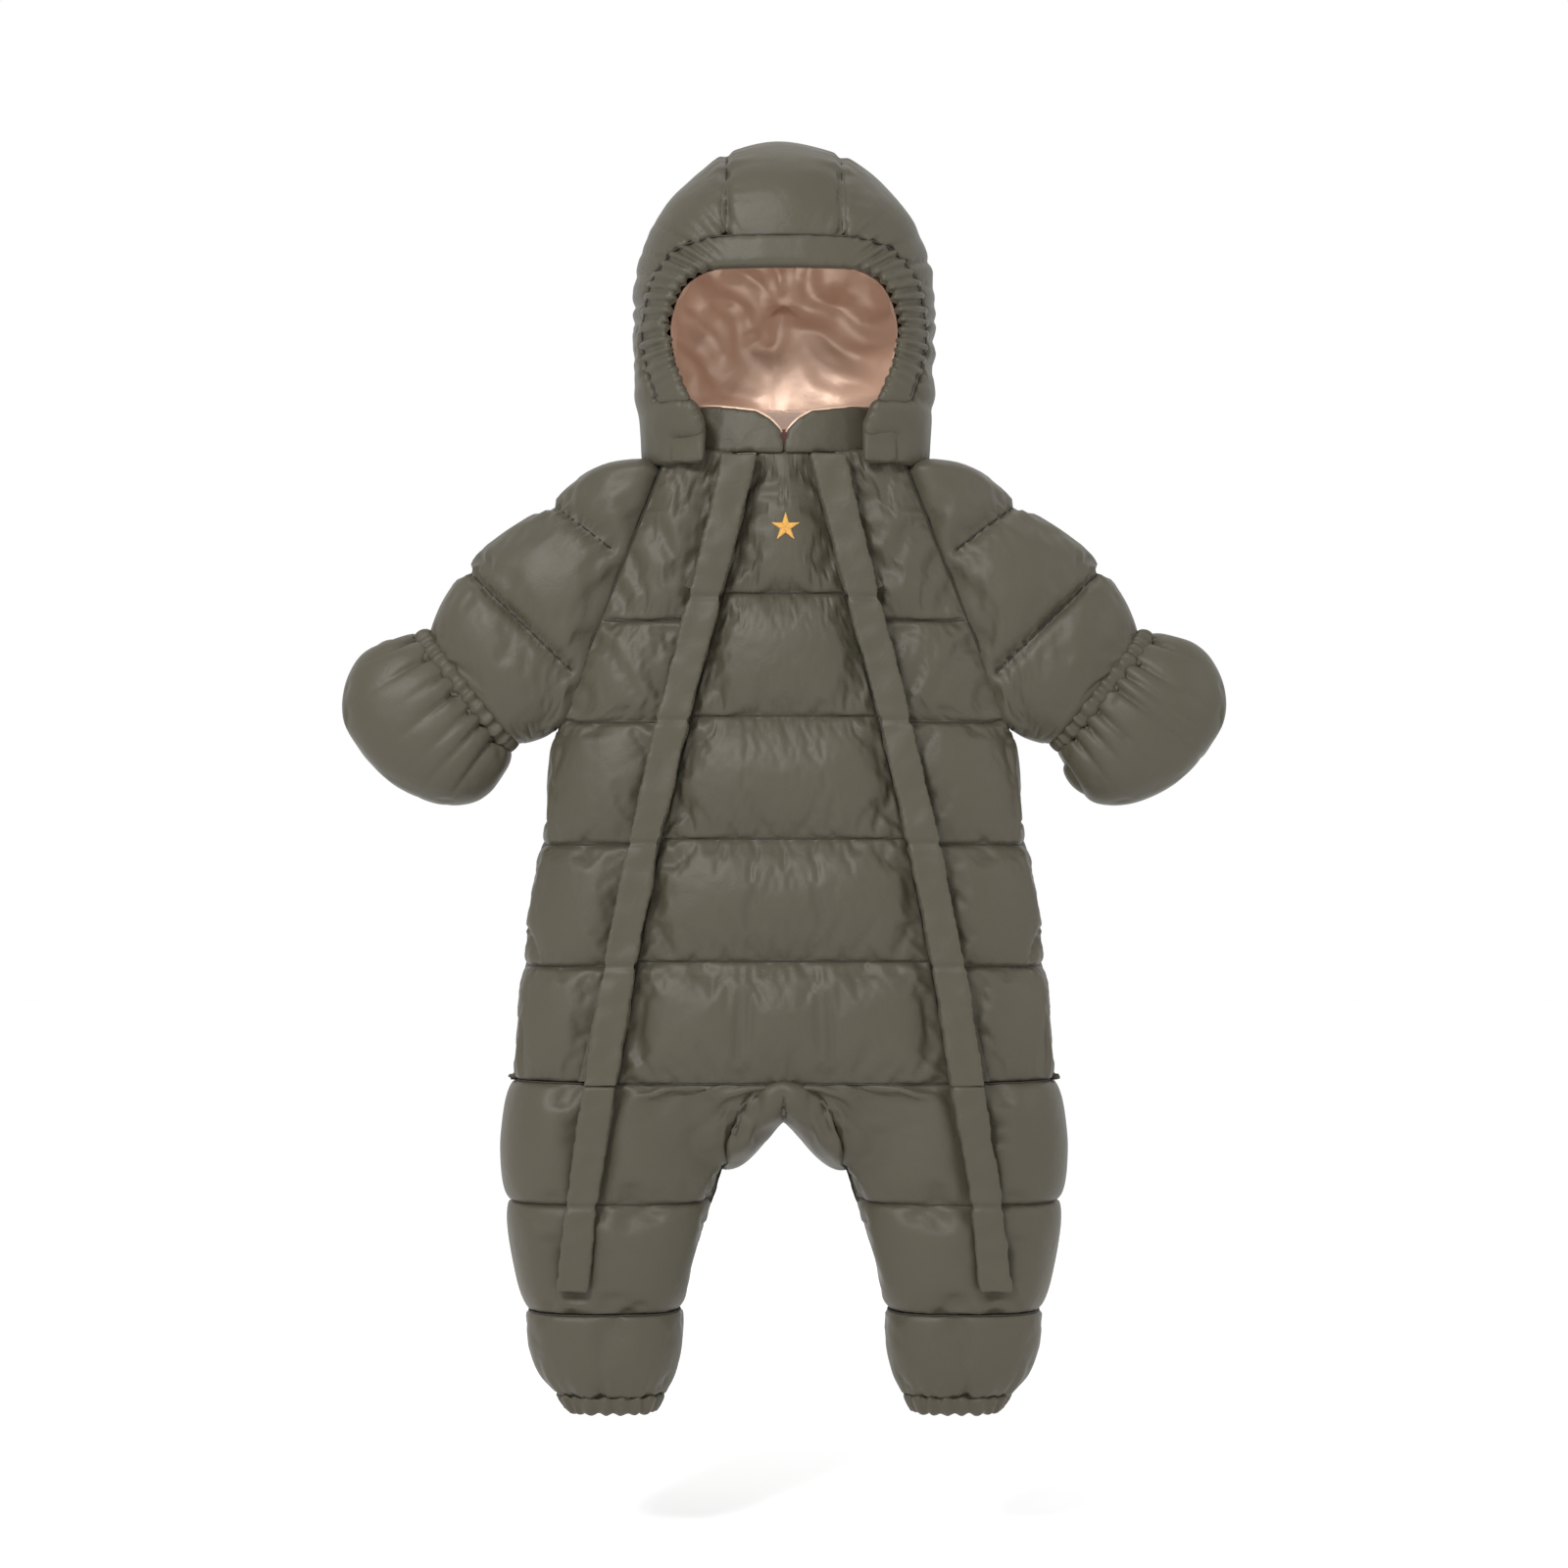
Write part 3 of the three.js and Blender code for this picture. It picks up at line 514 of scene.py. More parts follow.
def leg_depth(x, z):
    z = min(z, HIP_Z - 3 * MM)
    lo, hi = leg_inner(z), leg_outer(z)
    own = 0
    if lo < x < hi:
        edge = min(x - lo, hi - x)
        own = smooth_depth(leg, min(max(x, lo + 5 * MM), hi - 5 * MM), z, 4 * MM)
        if edge < 5 * MM:
            own *= math.sqrt(edge / (5 * MM))
    return max(own, saddle_depth(x, z) if x < hi - 5 * MM else 0)


# The seam between leg and gusset is an arch; both of its sides follow from one power curve.
ARCH_TOP = high("crotch_gusset").z
ARCH_FOOT = CROTCH_Z + 7 * MM
ARCH_POWER = 2.6


def arch_x(z):
    """Seam between leg and crotch gusset: half width at z."""
    share = min(max((ARCH_TOP - z) / (ARCH_TOP - ARCH_FOOT), 0), 1)
    return CROTCH_X * math.sqrt(1 - (1 - share) ** ARCH_POWER)


def arch_z(x):
    """The same seam: height at x."""
    share = min(abs(x) / CROTCH_X, 1)
    return ARCH_TOP - (ARCH_TOP - ARCH_FOOT) * (1 - (1 - share ** 2) ** (1 / ARCH_POWER))


def trunk_line(z, facing, count, width, x_of):
    """One row of points over the front (-1) or the back (1) of the trunk."""
    places = [x_of(share) for share in shares(count, width)]
    return [(x, MID_Y + facing * trunk_depth(x, z), z) for x in places]


def bunched(share, z):
    """Brings points nearer to the side seam, which turns sharply below the armpit."""
    return math.sin(share * math.pi / 2) if z < ARMPIT_Z + 8 * MM else share


def trunk_skin(name, grid, marks, smoothing=0):
    skin = Skin(name, grid, outward=(0, MID_Y, -0.2))
    skin.smooth(smoothing)
    skin.pin_edges(marks)
    return skin


def build_trunk_skins():
    rows, marks = rows_between([NECK_Z + 1.5 * MM] + QUILTS + [HIP_Z])
    grid = []
    for z in rows:
        inner, _ = flap_lines(z)
        near_hip = smoothstep(1 - (z - HIP_Z) / (0.5 * QUILT_STEP))
        line = trunk_line(z, -1, 56, 2 * inner, lambda share: inner * (2 * share - 1))
        grid.append([(x, y, z + max(arch_z(x) - HIP_Z, 0) * near_hip) for x, y, _ in line])
    centre = trunk_skin("centre_panel", grid, marks)

    side_quilts = [HIP_Z + 3.78 * QUILT_STEP] + [q - 4 * MM for q in QUILTS[1:]]
    rows, marks = rows_between([NECK_Z + 3 * MM] + side_quilts + [HIP_Z])
    grid = []
    for z in rows:
        start, edge = zip_x(z) + 3 * MM, trunk_side(z)
        width = edge - start
        grid.append(trunk_line(z, -1, 26, width, lambda share: start + width * bunched(share, z)))
    side = trunk_skin("side_panel_left", grid, marks, 2)

    rows, marks = rows_between([NECK_Z] + QUILTS + [HIP_Z])
    grid = []
    for z in rows:
        edge = trunk_side(z)
        grid.append(trunk_line(z, 1, 68, 2 * edge, lambda share: edge * bunched(2 * share - 1, z)))
    return [centre, side, mirrored(side, "side_panel_right"), trunk_skin("back_skin", grid, marks)]


def build_leg_skins():
    """Front and back of the leg in one skin, from the inner seam round the outside and back."""
    half = 22
    rows, marks = rows_between([HIP_Z, HIP_Z - QUILT_STEP, FOOT_Z])
    grid = []
    for z in rows:
        inner = arch_x(z) if z > ARCH_FOOT else leg_inner(z)
        outer = leg_outer(min(z, HIP_Z - 2 * MM))
        line = []
        for k, place in enumerate(shares(2 * half, 2 * (outer - inner))):
            share = (1 - math.cos(math.pi * (1 - abs(2 * place - 1)))) / 2
            x = inner + (outer - inner) * share
            line.append((x, MID_Y + (-1 if k < half else 1) * leg_depth(x, z), z))
        grid.append(line)
    skin = Skin("leg_skin_left", grid, outward=(0.11, MID_Y, -0.45))
    skin.smooth(1)
    for line in skin.p:
        for k in (0, -1):
            line[k, 0] -= 3 * MM * smoothstep((line[k, 2] - ARCH_FOOT + 55 * MM) / (50 * MM))
    skin.pin_edges(marks)
    for z, line, pin in zip(rows, skin.p, skin.pin):
        if z >= low("leg_flap_left").z:
            a, b = flap_lines(z)
            pin |= (line[:, 0] > a - MM) & (line[:, 0] < b - 4 * MM) & (line[:, 1] < MID_Y)

    foot = []
    for z in rows_between([FOOT_Z, HEM_Z])[0]:
        level = min(z, FOOT_Z - MM)
        inner, outer = leg_inner(level), leg_outer(level)
        line = []
        for k in range(2 * half):
            angle = 2 * math.pi * k / (2 * half)
            x = (inner + outer) / 2 - (outer - inner) / 2 * math.cos(angle)
            line.append((x, MID_Y - math.copysign(leg_depth(x, z), math.sin(angle)), z))
        foot.append(line)
    shoe = Skin("foot_skin_left", foot, wrap=True, outward=(0.11, MID_Y, -0.6))
    shoe.smooth(1)
    shoe.pin_edges()
    return [skin, mirrored(skin, "leg_skin_right"), shoe, mirrored(shoe, "foot_skin_right")]


def build_crotch_skin():
    """Gusset from the arch seam at the front, under the crotch, to the same seam at the back."""
    grid = []
    steps = 20
    for i in range(steps + 1):
        angle = math.pi * i / steps
        line = []
        for share in shares(22, 2 * CROTCH_X):
            x = CROTCH_X * (2 * share - 1) * 1.07
            top, bottom = arch_z(x) + 2 * MM, crotch_bottom(x)
            deep = saddle_depth(min(abs(x), CROTCH_X), max(top - 3 * MM, bottom + 4 * MM))
            z = top - max(top - bottom, MM) * math.sin(angle)
            line.append((x, MID_Y - math.cos(angle) * deep, z))
        grid.append(line)
    skin = Skin("crotch_skin", grid, outward=(0, MID_Y, HIP_Z + 30 * MM))
    skin.pin_edges()
    return [skin]


# ---------------------------------------------------------------- sleeves and mittens

raglan = joint("sleeve_left_swing")
cuff = joint("mitten_left_turn_back")
RAGLAN_DIR = np.array([raglan["axis"][0], raglan["axis"][2]])
RAGLAN_AT = np.array([raglan["pos_m"][0], raglan["pos_m"][2]])
CUFF_DIR = np.array([cuff["axis"][0], cuff["axis"][2]])
CUFF_AT = np.array([cuff["pos_m"][0], cuff["pos_m"][2]])
CUFF_OUT = np.array([CUFF_DIR[1], -CUFF_DIR[0]])
CUFF_WAY = np.array([CUFF_OUT[0], 0, CUFF_OUT[1]])


def crossing(a, u, b, v):
    """Point where two lines in the front view meet."""
    m = np.array([[u[0], -v[0]], [u[1], -v[1]]])
    t = np.linalg.solve(m, b - a)
    return a + u * t[0]


PIVOT = crossing(RAGLAN_AT, RAGLAN_DIR, CUFF_AT, CUFF_DIR)


SHOULDER_LIFT = 6 * MM  # how far the wadding stands up where the sleeve meets the neck
SLEEVE_QUILTS = ((0.31, 0.34), (0.70, 0.80))  # shares of the top edge and of the raglan seam


def sleeve_span(share):
    """Underside and top point of the sleeve on a line fanned out from the armpit."""
    a0 = math.atan2(-RAGLAN_DIR[1], -RAGLAN_DIR[0])
    a1 = math.atan2(CUFF_DIR[1], CUFF_DIR[0])
    a = a0 + (a1 - a0) * (0.02 + 0.955 * share)
    d = np.array([math.cos(a), math.sin(a)])
    ring = sleeve.cut((PIVOT[0], MID_Y, PIVOT[1]), (-d[1], 0, d[0]))[:, [0, 2]]
    along = (ring - PIVOT) @ d
    shoulder = SHOULDER_LIFT * (1 - smoothstep(share / 0.38))
    return PIVOT + d * along.min(), PIVOT + d * along.max() + np.array([0, shoulder])


@functools.cache
def sleeve_quilts():
    """The sleeve's quilt lines: each runs from its top edge to its raglan seam."""
    armpit, neck = sleeve_span(0.03)
    return [(sleeve_span(start)[1], neck + (armpit - neck) * end) for start, end in SLEEVE_QUILTS]


def pillow_ring(bottom, top, bvh, half, cap_depth=None):
    """Ring over a line in the front view: front from top to bottom, then back up again."""
    ring = []
    for k in range(2 * half):
        share = k / half if k <= half else 2 - k / half
        share = (1 - math.cos(math.pi * share)) / 2
        at = top + (bottom - top) * share
        length = np.linalg.norm(top - bottom)
        edge = min(share, 1 - share) * length
        inside = top + (bottom - top) * min(max(share, 4 * MM / length), 1 - 4 * MM / length)
        d = smooth_depth(bvh, inside[0], inside[1], 3 * MM)
        if edge < 4 * MM:
            d *= math.sqrt(edge / (4 * MM))
        if cap_depth is not None:
            d = cap_depth(share, d)
        sign = -1 if k <= half else 1
        ring.append((at[0], MID_Y + sign * d, at[1]))
    return ring


def build_sleeve_skins():
    half = 26
    grid = []
    steps = 24
    for i in range(steps + 1):
        share = i / steps
        bottom, top = sleeve_span(share)

        def to_trunk(v, d):
            x, z = top + (bottom - top) * v
            seam = trunk_depth(min(x, trunk_side(z)), z)
            weight = 1 - smoothstep(share / 0.35)
            ends = min(1, min(v, 1 - v) / 0.012)
            return d * (1 - weight) + seam * weight * ends

        grid.append(pillow_ring(bottom, top, sleeve, half, to_trunk))
    inward = np.array([RAGLAN_DIR[1], 0, -RAGLAN_DIR[0]])
    tucked = np.array(grid[0]) + inward * 9 * MM
    tucked[:, 1] = MID_Y + 0.9 * (tucked[:, 1] - MID_Y)
    grid.insert(0, tucked.tolist())
    end = np.array(grid[-1])
    centre = end.mean(0)
    for step in (1, 2):
        grid.append(centre + (end - centre) * (1 - 0.05 * step) + CUFF_WAY * 3.5 * MM * step)
    skin = Skin("sleeve_skin_left", grid, wrap=True, outward=(0.15, MID_Y, -0.1))
    skin.smooth(1)
    skin.pin_edges()
    for a, b in sleeve_quilts():
        skin.pin_line(a, b)
    return [skin, mirrored(skin, "sleeve_skin_right")]


MITTEN_START = (mitten.verts[:, [0, 2]] - CUFF_AT).dot(CUFF_OUT).min() + 0.5 * MM


def build_mitten_skins():
    grid = []
    for i in range(18):
        base = CUFF_AT + CUFF_OUT * (MITTEN_START + SPACING * i)
        ring = mitten.cut((base[0], MID_Y, base[1]), CUFF_WAY)[:, [0, 2]]
        if len(ring) < 3:
            break
        along = (ring - base) @ CUFF_DIR
        bottom, top = base + CUFF_DIR * along.min(), base + CUFF_DIR * along.max()
        grid.append(pillow_ring(bottom, top, mitten, 24))
    first, last = np.array(grid[0]), np.array(grid[-1])
    grid.insert(0, first.mean(0) + (first - first.mean(0)) * 0.97 - CUFF_WAY * 2.5 * MM)
    tip = last.mean(0) + CUFF_WAY * 3 * MM
    for share in (0.6, 0.25):
        grid.append(tip + (last - tip) * share)
    skin = Skin("mitten_skin_left", grid, wrap=True, outward=(0.235, MID_Y, -0.17))
    skin.smooth(1)
    skin.pin_edges(bottom=False)
    return [skin, mirrored(skin, "mitten_skin_right")]


# ---------------------------------------------------------------- soft pieces from frame solids


def noise(x, y=0.0, z=0.0):
    """Smooth noise from -1 to 1, the same each run."""
    return perlin(Vector((x, y, z)), noise_basis="PERLIN_ORIGINAL")


def soft_noise(depth, across, up):
    """Relief of soft dents, of one size across and another upwards."""
    return lambda x, y, z: depth * noise(x / across, y / across, z / up)


def side_sign(obj):
    return SIDES["left" if "left" in obj.name else "right"]


def vertex_array(obj, what="co"):
    values = np.zeros(len(obj.data.vertices) * 3)
    obj.data.vertices.foreach_get(what, values)
    return values.reshape(-1, 3)


def normal_array(obj):
    return vertex_array(obj, "normal")


def set_vertices(obj, co):
    obj.data.vertices.foreach_set("co", co.reshape(-1))
    obj.data.update()


def softened(name, node, voxel, rounds, swell, relief=None):
    """A frame solid as stuffed fabric: remeshed, smoothed, swollen again and given its folds."""
    obj = add_object(name, frame["nodes"][node].data.copy())
    obj.data.materials.clear()
    remesh = obj.modifiers.new("remesh", "REMESH")
    remesh.mode = "VOXEL"
    remesh.voxel_size = voxel
    smooth = obj.modifiers.new("smooth", "SMOOTH")
    smooth.factor = 0.5
    smooth.iterations = rounds
    apply_modifiers(obj)
    set_vertices(obj, vertex_array(obj) + normal_array(obj) * swell)
    if relief:
        add_folds(obj, relief)
    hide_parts(node)
    return obj


def add_folds(obj, relief):
    co = vertex_array(obj)
    lift = np.array([relief(*p) for p in co])
    set_vertices(obj, co + normal_array(obj) * lift[:, None])
    obj.modifiers.new("fine", "SUBSURF").levels = 1
    apply_modifiers(obj)


FACE = 0.5 * (low("hood_rim") + high("hood_rim"))
RUFFLE = 8 * MM  # length of one ruffle along an elastic band


def rim_ruffle(x, y, z):
    """Ruffles round the hood's face opening: strong at the sides, flat at the top centre."""
    angle = math.atan2(z - FACE.z, x)
    radius = 0.5 * (high("hood_rim").x - low("hood_rim").x)
    around = angle * radius
    strength = smoothstep((abs(x) - 34 * MM) / (26 * MM))
    strength *= smoothstep((z - low("hood_rim").z) / (30 * MM))
    phase = 2 * math.pi * around / RUFFLE + 2.2 * noise(around / (16 * MM), 0, 3)
    return strength * math.sin(phase) * (0.75 + 0.45 * noise(around / (24 * MM), 7, 1))


rim = Shape("hood_rim")
HOOD_STRIP = high("hood_centre_panel").x  # half width of the hood's middle strip
NECK_DROP = 12 * MM  # how far the hood's lower edge hangs over the top of the trunk
NECK_FADE = 30 * MM  # height over which a hood panel changes towards that edge
DOME_LIMIT = 7 * MM  # most that the crown moves a panel
HOOD_GROOVES, GROOVE_TURN, GROOVE_DEPTH = 28, 0.15, 4.5 * MM  # gathers round the face opening
CUFF_GROOVES, CUFF_PITCH, CUFF_DEPTH = range(-6, 7), 13 * MM, 5.5 * MM  # gathers of a mitten
STRIP_POINTS, RIM_POINTS = 110, 160  # points along the hood's drawn seams


def drop_neck_edge(obj):
    """Brings the lower edge of a hood piece down over the trunk's neck seam."""
    base = low("hood_lower_panel_left").z
    co = vertex_array(obj)
    share = np.clip(1 - (co[:, 2] - base) / NECK_FADE, 0, 1)
    co[:, 2] -= NECK_DROP * share ** 2
    set_vertices(obj, co)


def beside_rim(x, y, z):
    """Folds of the hood's panels: gathers out from the rim seam, puckers beside the strip."""
    away = rim.tree.find_nearest(Vector((x, y, z)))[3]
    angle = math.atan2(z - FACE.z, x)
    corner = smoothstep((abs(x) - 22 * MM) / (20 * MM))
    lift = 2.4 * MM * noise(x / (38 * MM), y / (55 * MM), z / (30 * MM))
    lift += 1.2 * MM * rim_ruffle(x, y, z) * fade(away, 11 * MM)
    lift += corner * 2.6 * MM * noise(angle * 9, 3, x) * fade(away, 26 * MM)
    for k in range(HOOD_GROOVES):
        place = -0.5 + GROOVE_TURN * k + 0.08 * noise(1.9 * k + 0.4, 2.5, 1)
        reach = 22 * MM * (1 + 1.2 * noise(2.7 * k + 0.2, 4.5, 2))
        fold = fade(abs(angle - place), 0.02) * math.exp(-(away / reach) ** 1.5)
        lift -= corner * GROOVE_DEPTH * fold
    seam = abs(abs(x) - HOOD_STRIP)
    across = noise(y / (7 * MM), z / (7 * MM), x)
    lift += 2.2 * MM * across * fade(seam, 9 * MM) - 3 * MM * bell(seam, 2.4 * MM)
    return lift


def round_crown(panels):
    """Moves the outer faces of the hood's panels onto one smooth dome fitted through all of them."""
    centre = np.array([0, FACE.y + 75 * MM, FACE.z])
    powers = [(i, j, k) for i in (0, 2, 4, 6) for j in range(7) for k in range(7) if i + j + k in (5, 6)]
    base = low("hood_lower_panel_left").z

    def terms(way):
        return np.stack([way[:, 0] ** i * way[:, 1] ** j * way[:, 2] ** k for i, j, k in powers], 1)

    parts = []
    for obj in panels:
        away = vertex_array(obj) - centre
        radius = np.linalg.norm(away, axis=1)
        way = away / radius[:, None]
        parts.append((obj, way, radius, (normal_array(obj) * way).sum(1)))
    ways, radii, facing = (np.concatenate([p[k] for p in parts]) for k in (1, 2, 3))
    outer = facing > 0.5
    dome = np.linalg.lstsq(terms(ways[outer]), radii[outer], rcond=None)[0]
    for obj, way, radius, facing in parts:
        co = vertex_array(obj)
        share = np.clip((facing - 0.1) / 0.5, 0, 1) * np.clip((co[:, 2] - base) / NECK_FADE, 0, 1)
        move = np.clip(terms(way) @ dome - radius, -DOME_LIMIT, DOME_LIMIT) * share
        set_vertices(obj, co + way * move[:, None])


def hood_pieces():
    panels = [softened("hood_centre_quilt", "hood_centre_panel", 2.2 * MM, 18, 3.2 * MM)]
    for side in SIDES:
        for part, rounds, swell in (("lower", 18, 3.2 * MM), ("side", 20, 3.8 * MM)):
            panels.append(softened(f"hood_{part}_quilt_{side}", f"hood_{part}_panel_{side}",
                                   2.2 * MM, rounds, swell))
    round_crown(panels)
    for obj in panels:
        add_folds(obj, beside_rim)
        if "side" not in obj.name:
            drop_neck_edge(obj)
    made = [softened("hood_rim_ruffle", "hood_rim", 1.8 * MM, 8, 2.2 * MM,
                     lambda *p: 2.3 * MM * rim_ruffle(*p))]
    for side in SIDES:
        made.append(softened(f"hood_tab_quilt_{side}", f"hood_tab_{side}", 1.8 * MM, 5, 1.3 * MM,
                             soft_noise(0.8 * MM, 9 * MM, 14 * MM)))
    return panels + made


def strip_line(surface, x):
    """Seam between the hood's middle strip and a side panel, from the front over the crown."""
    centre = Vector((x, FACE.y + 60 * MM, FACE.z + 10 * MM))
    line = []
    for k in range(STRIP_POINTS):
        angle = math.radians(-62 + 235 * k / (STRIP_POINTS - 1))
        way = Vector((0, math.sin(angle), math.cos(angle)))
        beside = []
        for step in (-2 * MM, 2 * MM):
            hit = surface.ray_cast(Vector((x + step, centre.y, centre.z)) + way * 0.25, -way)[0]
            if hit is not None and (hit - centre).dot(way) > 40 * MM:
                beside.append((hit - centre).dot(way))
        if len(beside) == 2:
            line.append(centre + way * (max(beside) - 1.2 * MM))
    return line


def rim_line(surface):
    """Seam between the hood's panels and its ruffled rim."""
    line = []
    for k in range(RIM_POINTS):
        angle = math.radians(-30 + 240 * k / (RIM_POINTS - 1))
        way = np.array([math.cos(angle), 0, math.sin(angle)])
        ring = rim.cut((0, 0, FACE.z), (-way[2], 0, way[0]))
        reach = (ring - np.array([0, 0, FACE.z])) @ way
        ring, reach = ring[reach > 0], reach[reach > 0]
        if len(ring):
            outer = ring[reach > reach.max() - 1.5 * MM]
            at = outer[outer[:, 1].argmin()] + way * 1.5 * MM
            line.append((at[0], front_of(surface, at[0], at[2]) - 0.4 * MM, at[2]))
    return line


def hood_seam_lines(pieces):
    surface = joined_tree(pieces)
    lines = [strip_line(surface, -HOOD_STRIP), strip_line(surface, HOOD_STRIP), rim_line(surface)]
    return [smooth_line(line, 4) for line in lines]


def smooth_line(line, rounds):
    line = np.array([tuple(p) for p in line])
    for _ in range(rounds):
        line[1:-1] = 0.5 * line[1:-1] + 0.25 * (line[:-2] + line[2:])
    return line


def front_of(bvh, x, z):
    hit = bvh.ray_cast(Vector((x, -1, z)), Vector((0, 1, 0)))[0]
    return hit.y if hit else MID_Y


def joined_tree(objects):
    verts, faces = [], []
    for obj in objects:
        base = len(verts)
        verts += [v.co.copy() for v in obj.data.vertices]
        faces += [[base + i for i in p.vertices] for p in obj.data.polygons]
    return BVHTree.FromPolygons(verts, faces)


def sleeve_quilt_lines(obj):
    """Dark lines along a sleeve's two quilt lines, front and back, laid on the finished sleeve: the stitching,
    with painted shade of the grooves in their colour.
    """
    surface = joined_tree([obj])
    lines = []
    for a, b in sleeve_quilts():
        for facing in (-1, 1):
            line = []
            for k in range(50):
                x, z = a + (b - a) * (k / 49)
                start = Vector((side_sign(obj) * x, MID_Y + facing, z))
                hit = surface.ray_cast(start, Vector((0, -facing, 0)))[0]
                if hit is not None:
                    line.append((hit.x, hit.y + facing * 0.45 * MM, hit.z))
            lines.append(smooth_line(line, 2))
    return lines


def flap_relief(mark_z):
    """Pinches where the quilt lines cross a flap, and small puckers along its stitched edge."""

    def relief(x, y, z):
        pinch = sum(bell(z - m, 2.2 * MM) for m in mark_z)
        pucker = noise(x / (14 * MM), y / (10 * MM), z / (12 * MM))
        return -1.6 * MM * pinch + 1.3 * MM * pucker + 1.2 * MM * noise(x / (40 * MM), 5, z / (38 * MM))

    return relief


def flap_pieces():
    marks = {"zip": [m - 3 * MM for m in QUILTS], "leg": [HIP_Z - QUILT_STEP]}
    return [softened(f"{part}_flap_quilt_{side}", f"{part}_flap_{side}", 1.5 * MM, 4, 0.75 * MM,
                     flap_relief(marks[part]))
            for side in SIDES for part in ("zip", "leg")]


def band_ruffle(x, y, z, count=32):
    """Ruffles round the cuff band of a mitten."""
    along = (np.array([abs(x), z]) - CUFF_AT) @ CUFF_DIR
    box_low, box_high = low("mitten_band_left"), high("mitten_band_left")
    deep = 0.5 * (box_high.y - box_low.y)
    wide = 0.5 * math.hypot(box_high.x - box_low.x, box_high.z - box_low.z)
    angle = math.atan2((y - MID_Y) / deep, along / wide)
    return math.sin(count * angle + 2 * noise(angle * 3, x, 2)) * (0.8 + 0.4 * noise(angle * 4, 9, x))


def cuff_gather(x, y, z):
    """Gathers that run from the cuff band out over the mitten, each with its own place and length."""
    at = np.array([abs(x), z]) - CUFF_AT
    away = max(at @ CUFF_OUT, 0)
    seat = at @ CUFF_DIR / (1 + 5 * away)
    away = max(away - 6 * MM, 0)
    side = math.copysign(3, x)
    lift = 3.5 * MM * noise(seat / (24 * MM), away / (60 * MM), side) * fade(away, 40 * MM)
    for k in CUFF_GROOVES:
        place = CUFF_PITCH * k + 7 * MM * noise(1.7 * k + 0.3, side, 5)
        reach = 26 * MM * (1 + 1.2 * noise(2.3 * k + 0.4, side, 9))
        lift -= CUFF_DEPTH * fade(abs(seat - place), 1.7 * MM) * math.exp(-(away / reach) ** 1.5)
    return lift


def sleeve_relief(x, y, z):
    """Crisp grooves along the sleeve's two quilt lines, with small folds across them."""
    lift = 0
    for number, (a, b) in enumerate(sleeve_quilts()):
        d, at = b - a, np.array([abs(x), z]) - a
        length = math.hypot(*d)
        along = at @ d / length
        away = abs(d[0] * at[1] - d[1] * at[0]) / length
        if -8 * MM < along < length + 4 * MM:
            lift -= 2.4 * MM * bell(away, 1.9 * MM)
            folds = noise(along / (7 * MM), number + x) + 0.6 * noise(along / (19 * MM), number, 5)
            lift += 1.1 * MM * folds * fade(away, 9 * MM) * (1 - fade(away, 2 * MM))
    return lift


def foot_gather(x, y, z):
    """Gathers that run up the foot from its elastic end, with one deeper pinch at the front."""
    centre = 0.5 * (low("foot_section_left") + high("foot_section_left"))
    up = max(z - HEM_Z, 0)
    angle = math.atan2((y - centre.y) * 1.6, abs(x) - centre.x)
    fine = noise(angle * 6, x, 2) + 0.5 * noise(angle * 13, 4, x)
    lift = 3.0 * MM * fine * fade(up, 16 * MM)
    if y < MID_Y:
        lift -= 3.2 * MM * bell(abs(x) - centre.x - 1 * MM, 2.6 * MM) * fade(up, 18 * MM)
    return lift


def gusset_relief(x, y, z):
    """Stuffed middle of the gusset and the two folds beside it."""
    middle = 4.5 * MM * bell(x, 13 * MM) * bell(ARCH_TOP - 14 * MM - z, 13 * MM)
    fold = -2.2 * MM * bell(abs(x) - 17 * MM, 3.2 * MM) * smoothstep((HIP_Z - z) / (10 * MM))
    fold *= smoothstep((z - CROTCH_Z - 14 * MM) / (10 * MM))
    soft = 1.6 * MM * noise(x / (11 * MM), y / (20 * MM), z / (24 * MM))
    return (middle + fold + soft) * smoothstep((MID_Y - y) / (24 * MM))


def hem_ruffle(x, y, z, count=24):
    """Ruffles round the gathered end of a foot."""
    centre = 0.5 * (low("foot_elastic_left") + high("foot_elastic_left"))
    angle = math.atan2((y - centre.y) * 1.6, abs(x) - centre.x)
    return math.sin(count * angle + 2 * noise(angle * 3, x, 5)) * (0.8 + 0.5 * noise(angle * 4, 3, x))


def gathered_pieces():
    made = []
    for side in SIDES:
        made.append(softened(f"mitten_band_ruffle_{side}", f"mitten_band_{side}", 1.5 * MM, 4, 3 * MM,
                             lambda *p: 1.6 * MM * band_ruffle(*p)))
        made.append(softened(f"foot_hem_ruffle_{side}", f"foot_elastic_{side}", 1.8 * MM, 4, 1.2 * MM,
                             lambda *p: 1.5 * MM * hem_ruffle(*p)))
    return made


# ---------------------------------------------------------------- linings


def lining_of(name, node, sources):
    """Lining that follows the inside of some skins."""
    verts, faces = [], []
    for skin in sources:
        inside = skin.p - skin.normals() * LINING_INSET
        inner = Skin(skin.name, inside[2:-2] if skin.wrap else inside[4:-3, 3:-3], wrap=skin.wrap)
        faces.extend(inner.faces(len(verts)))
        verts.extend(inner.p.reshape(-1, 3).tolist())
    obj = mesh_object(name, verts, faces)
    obj.modifiers.new("thickness", "SOLIDIFY").thickness = 0.4 * MM
    apply_modifiers(obj)
    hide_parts(node)
    return obj


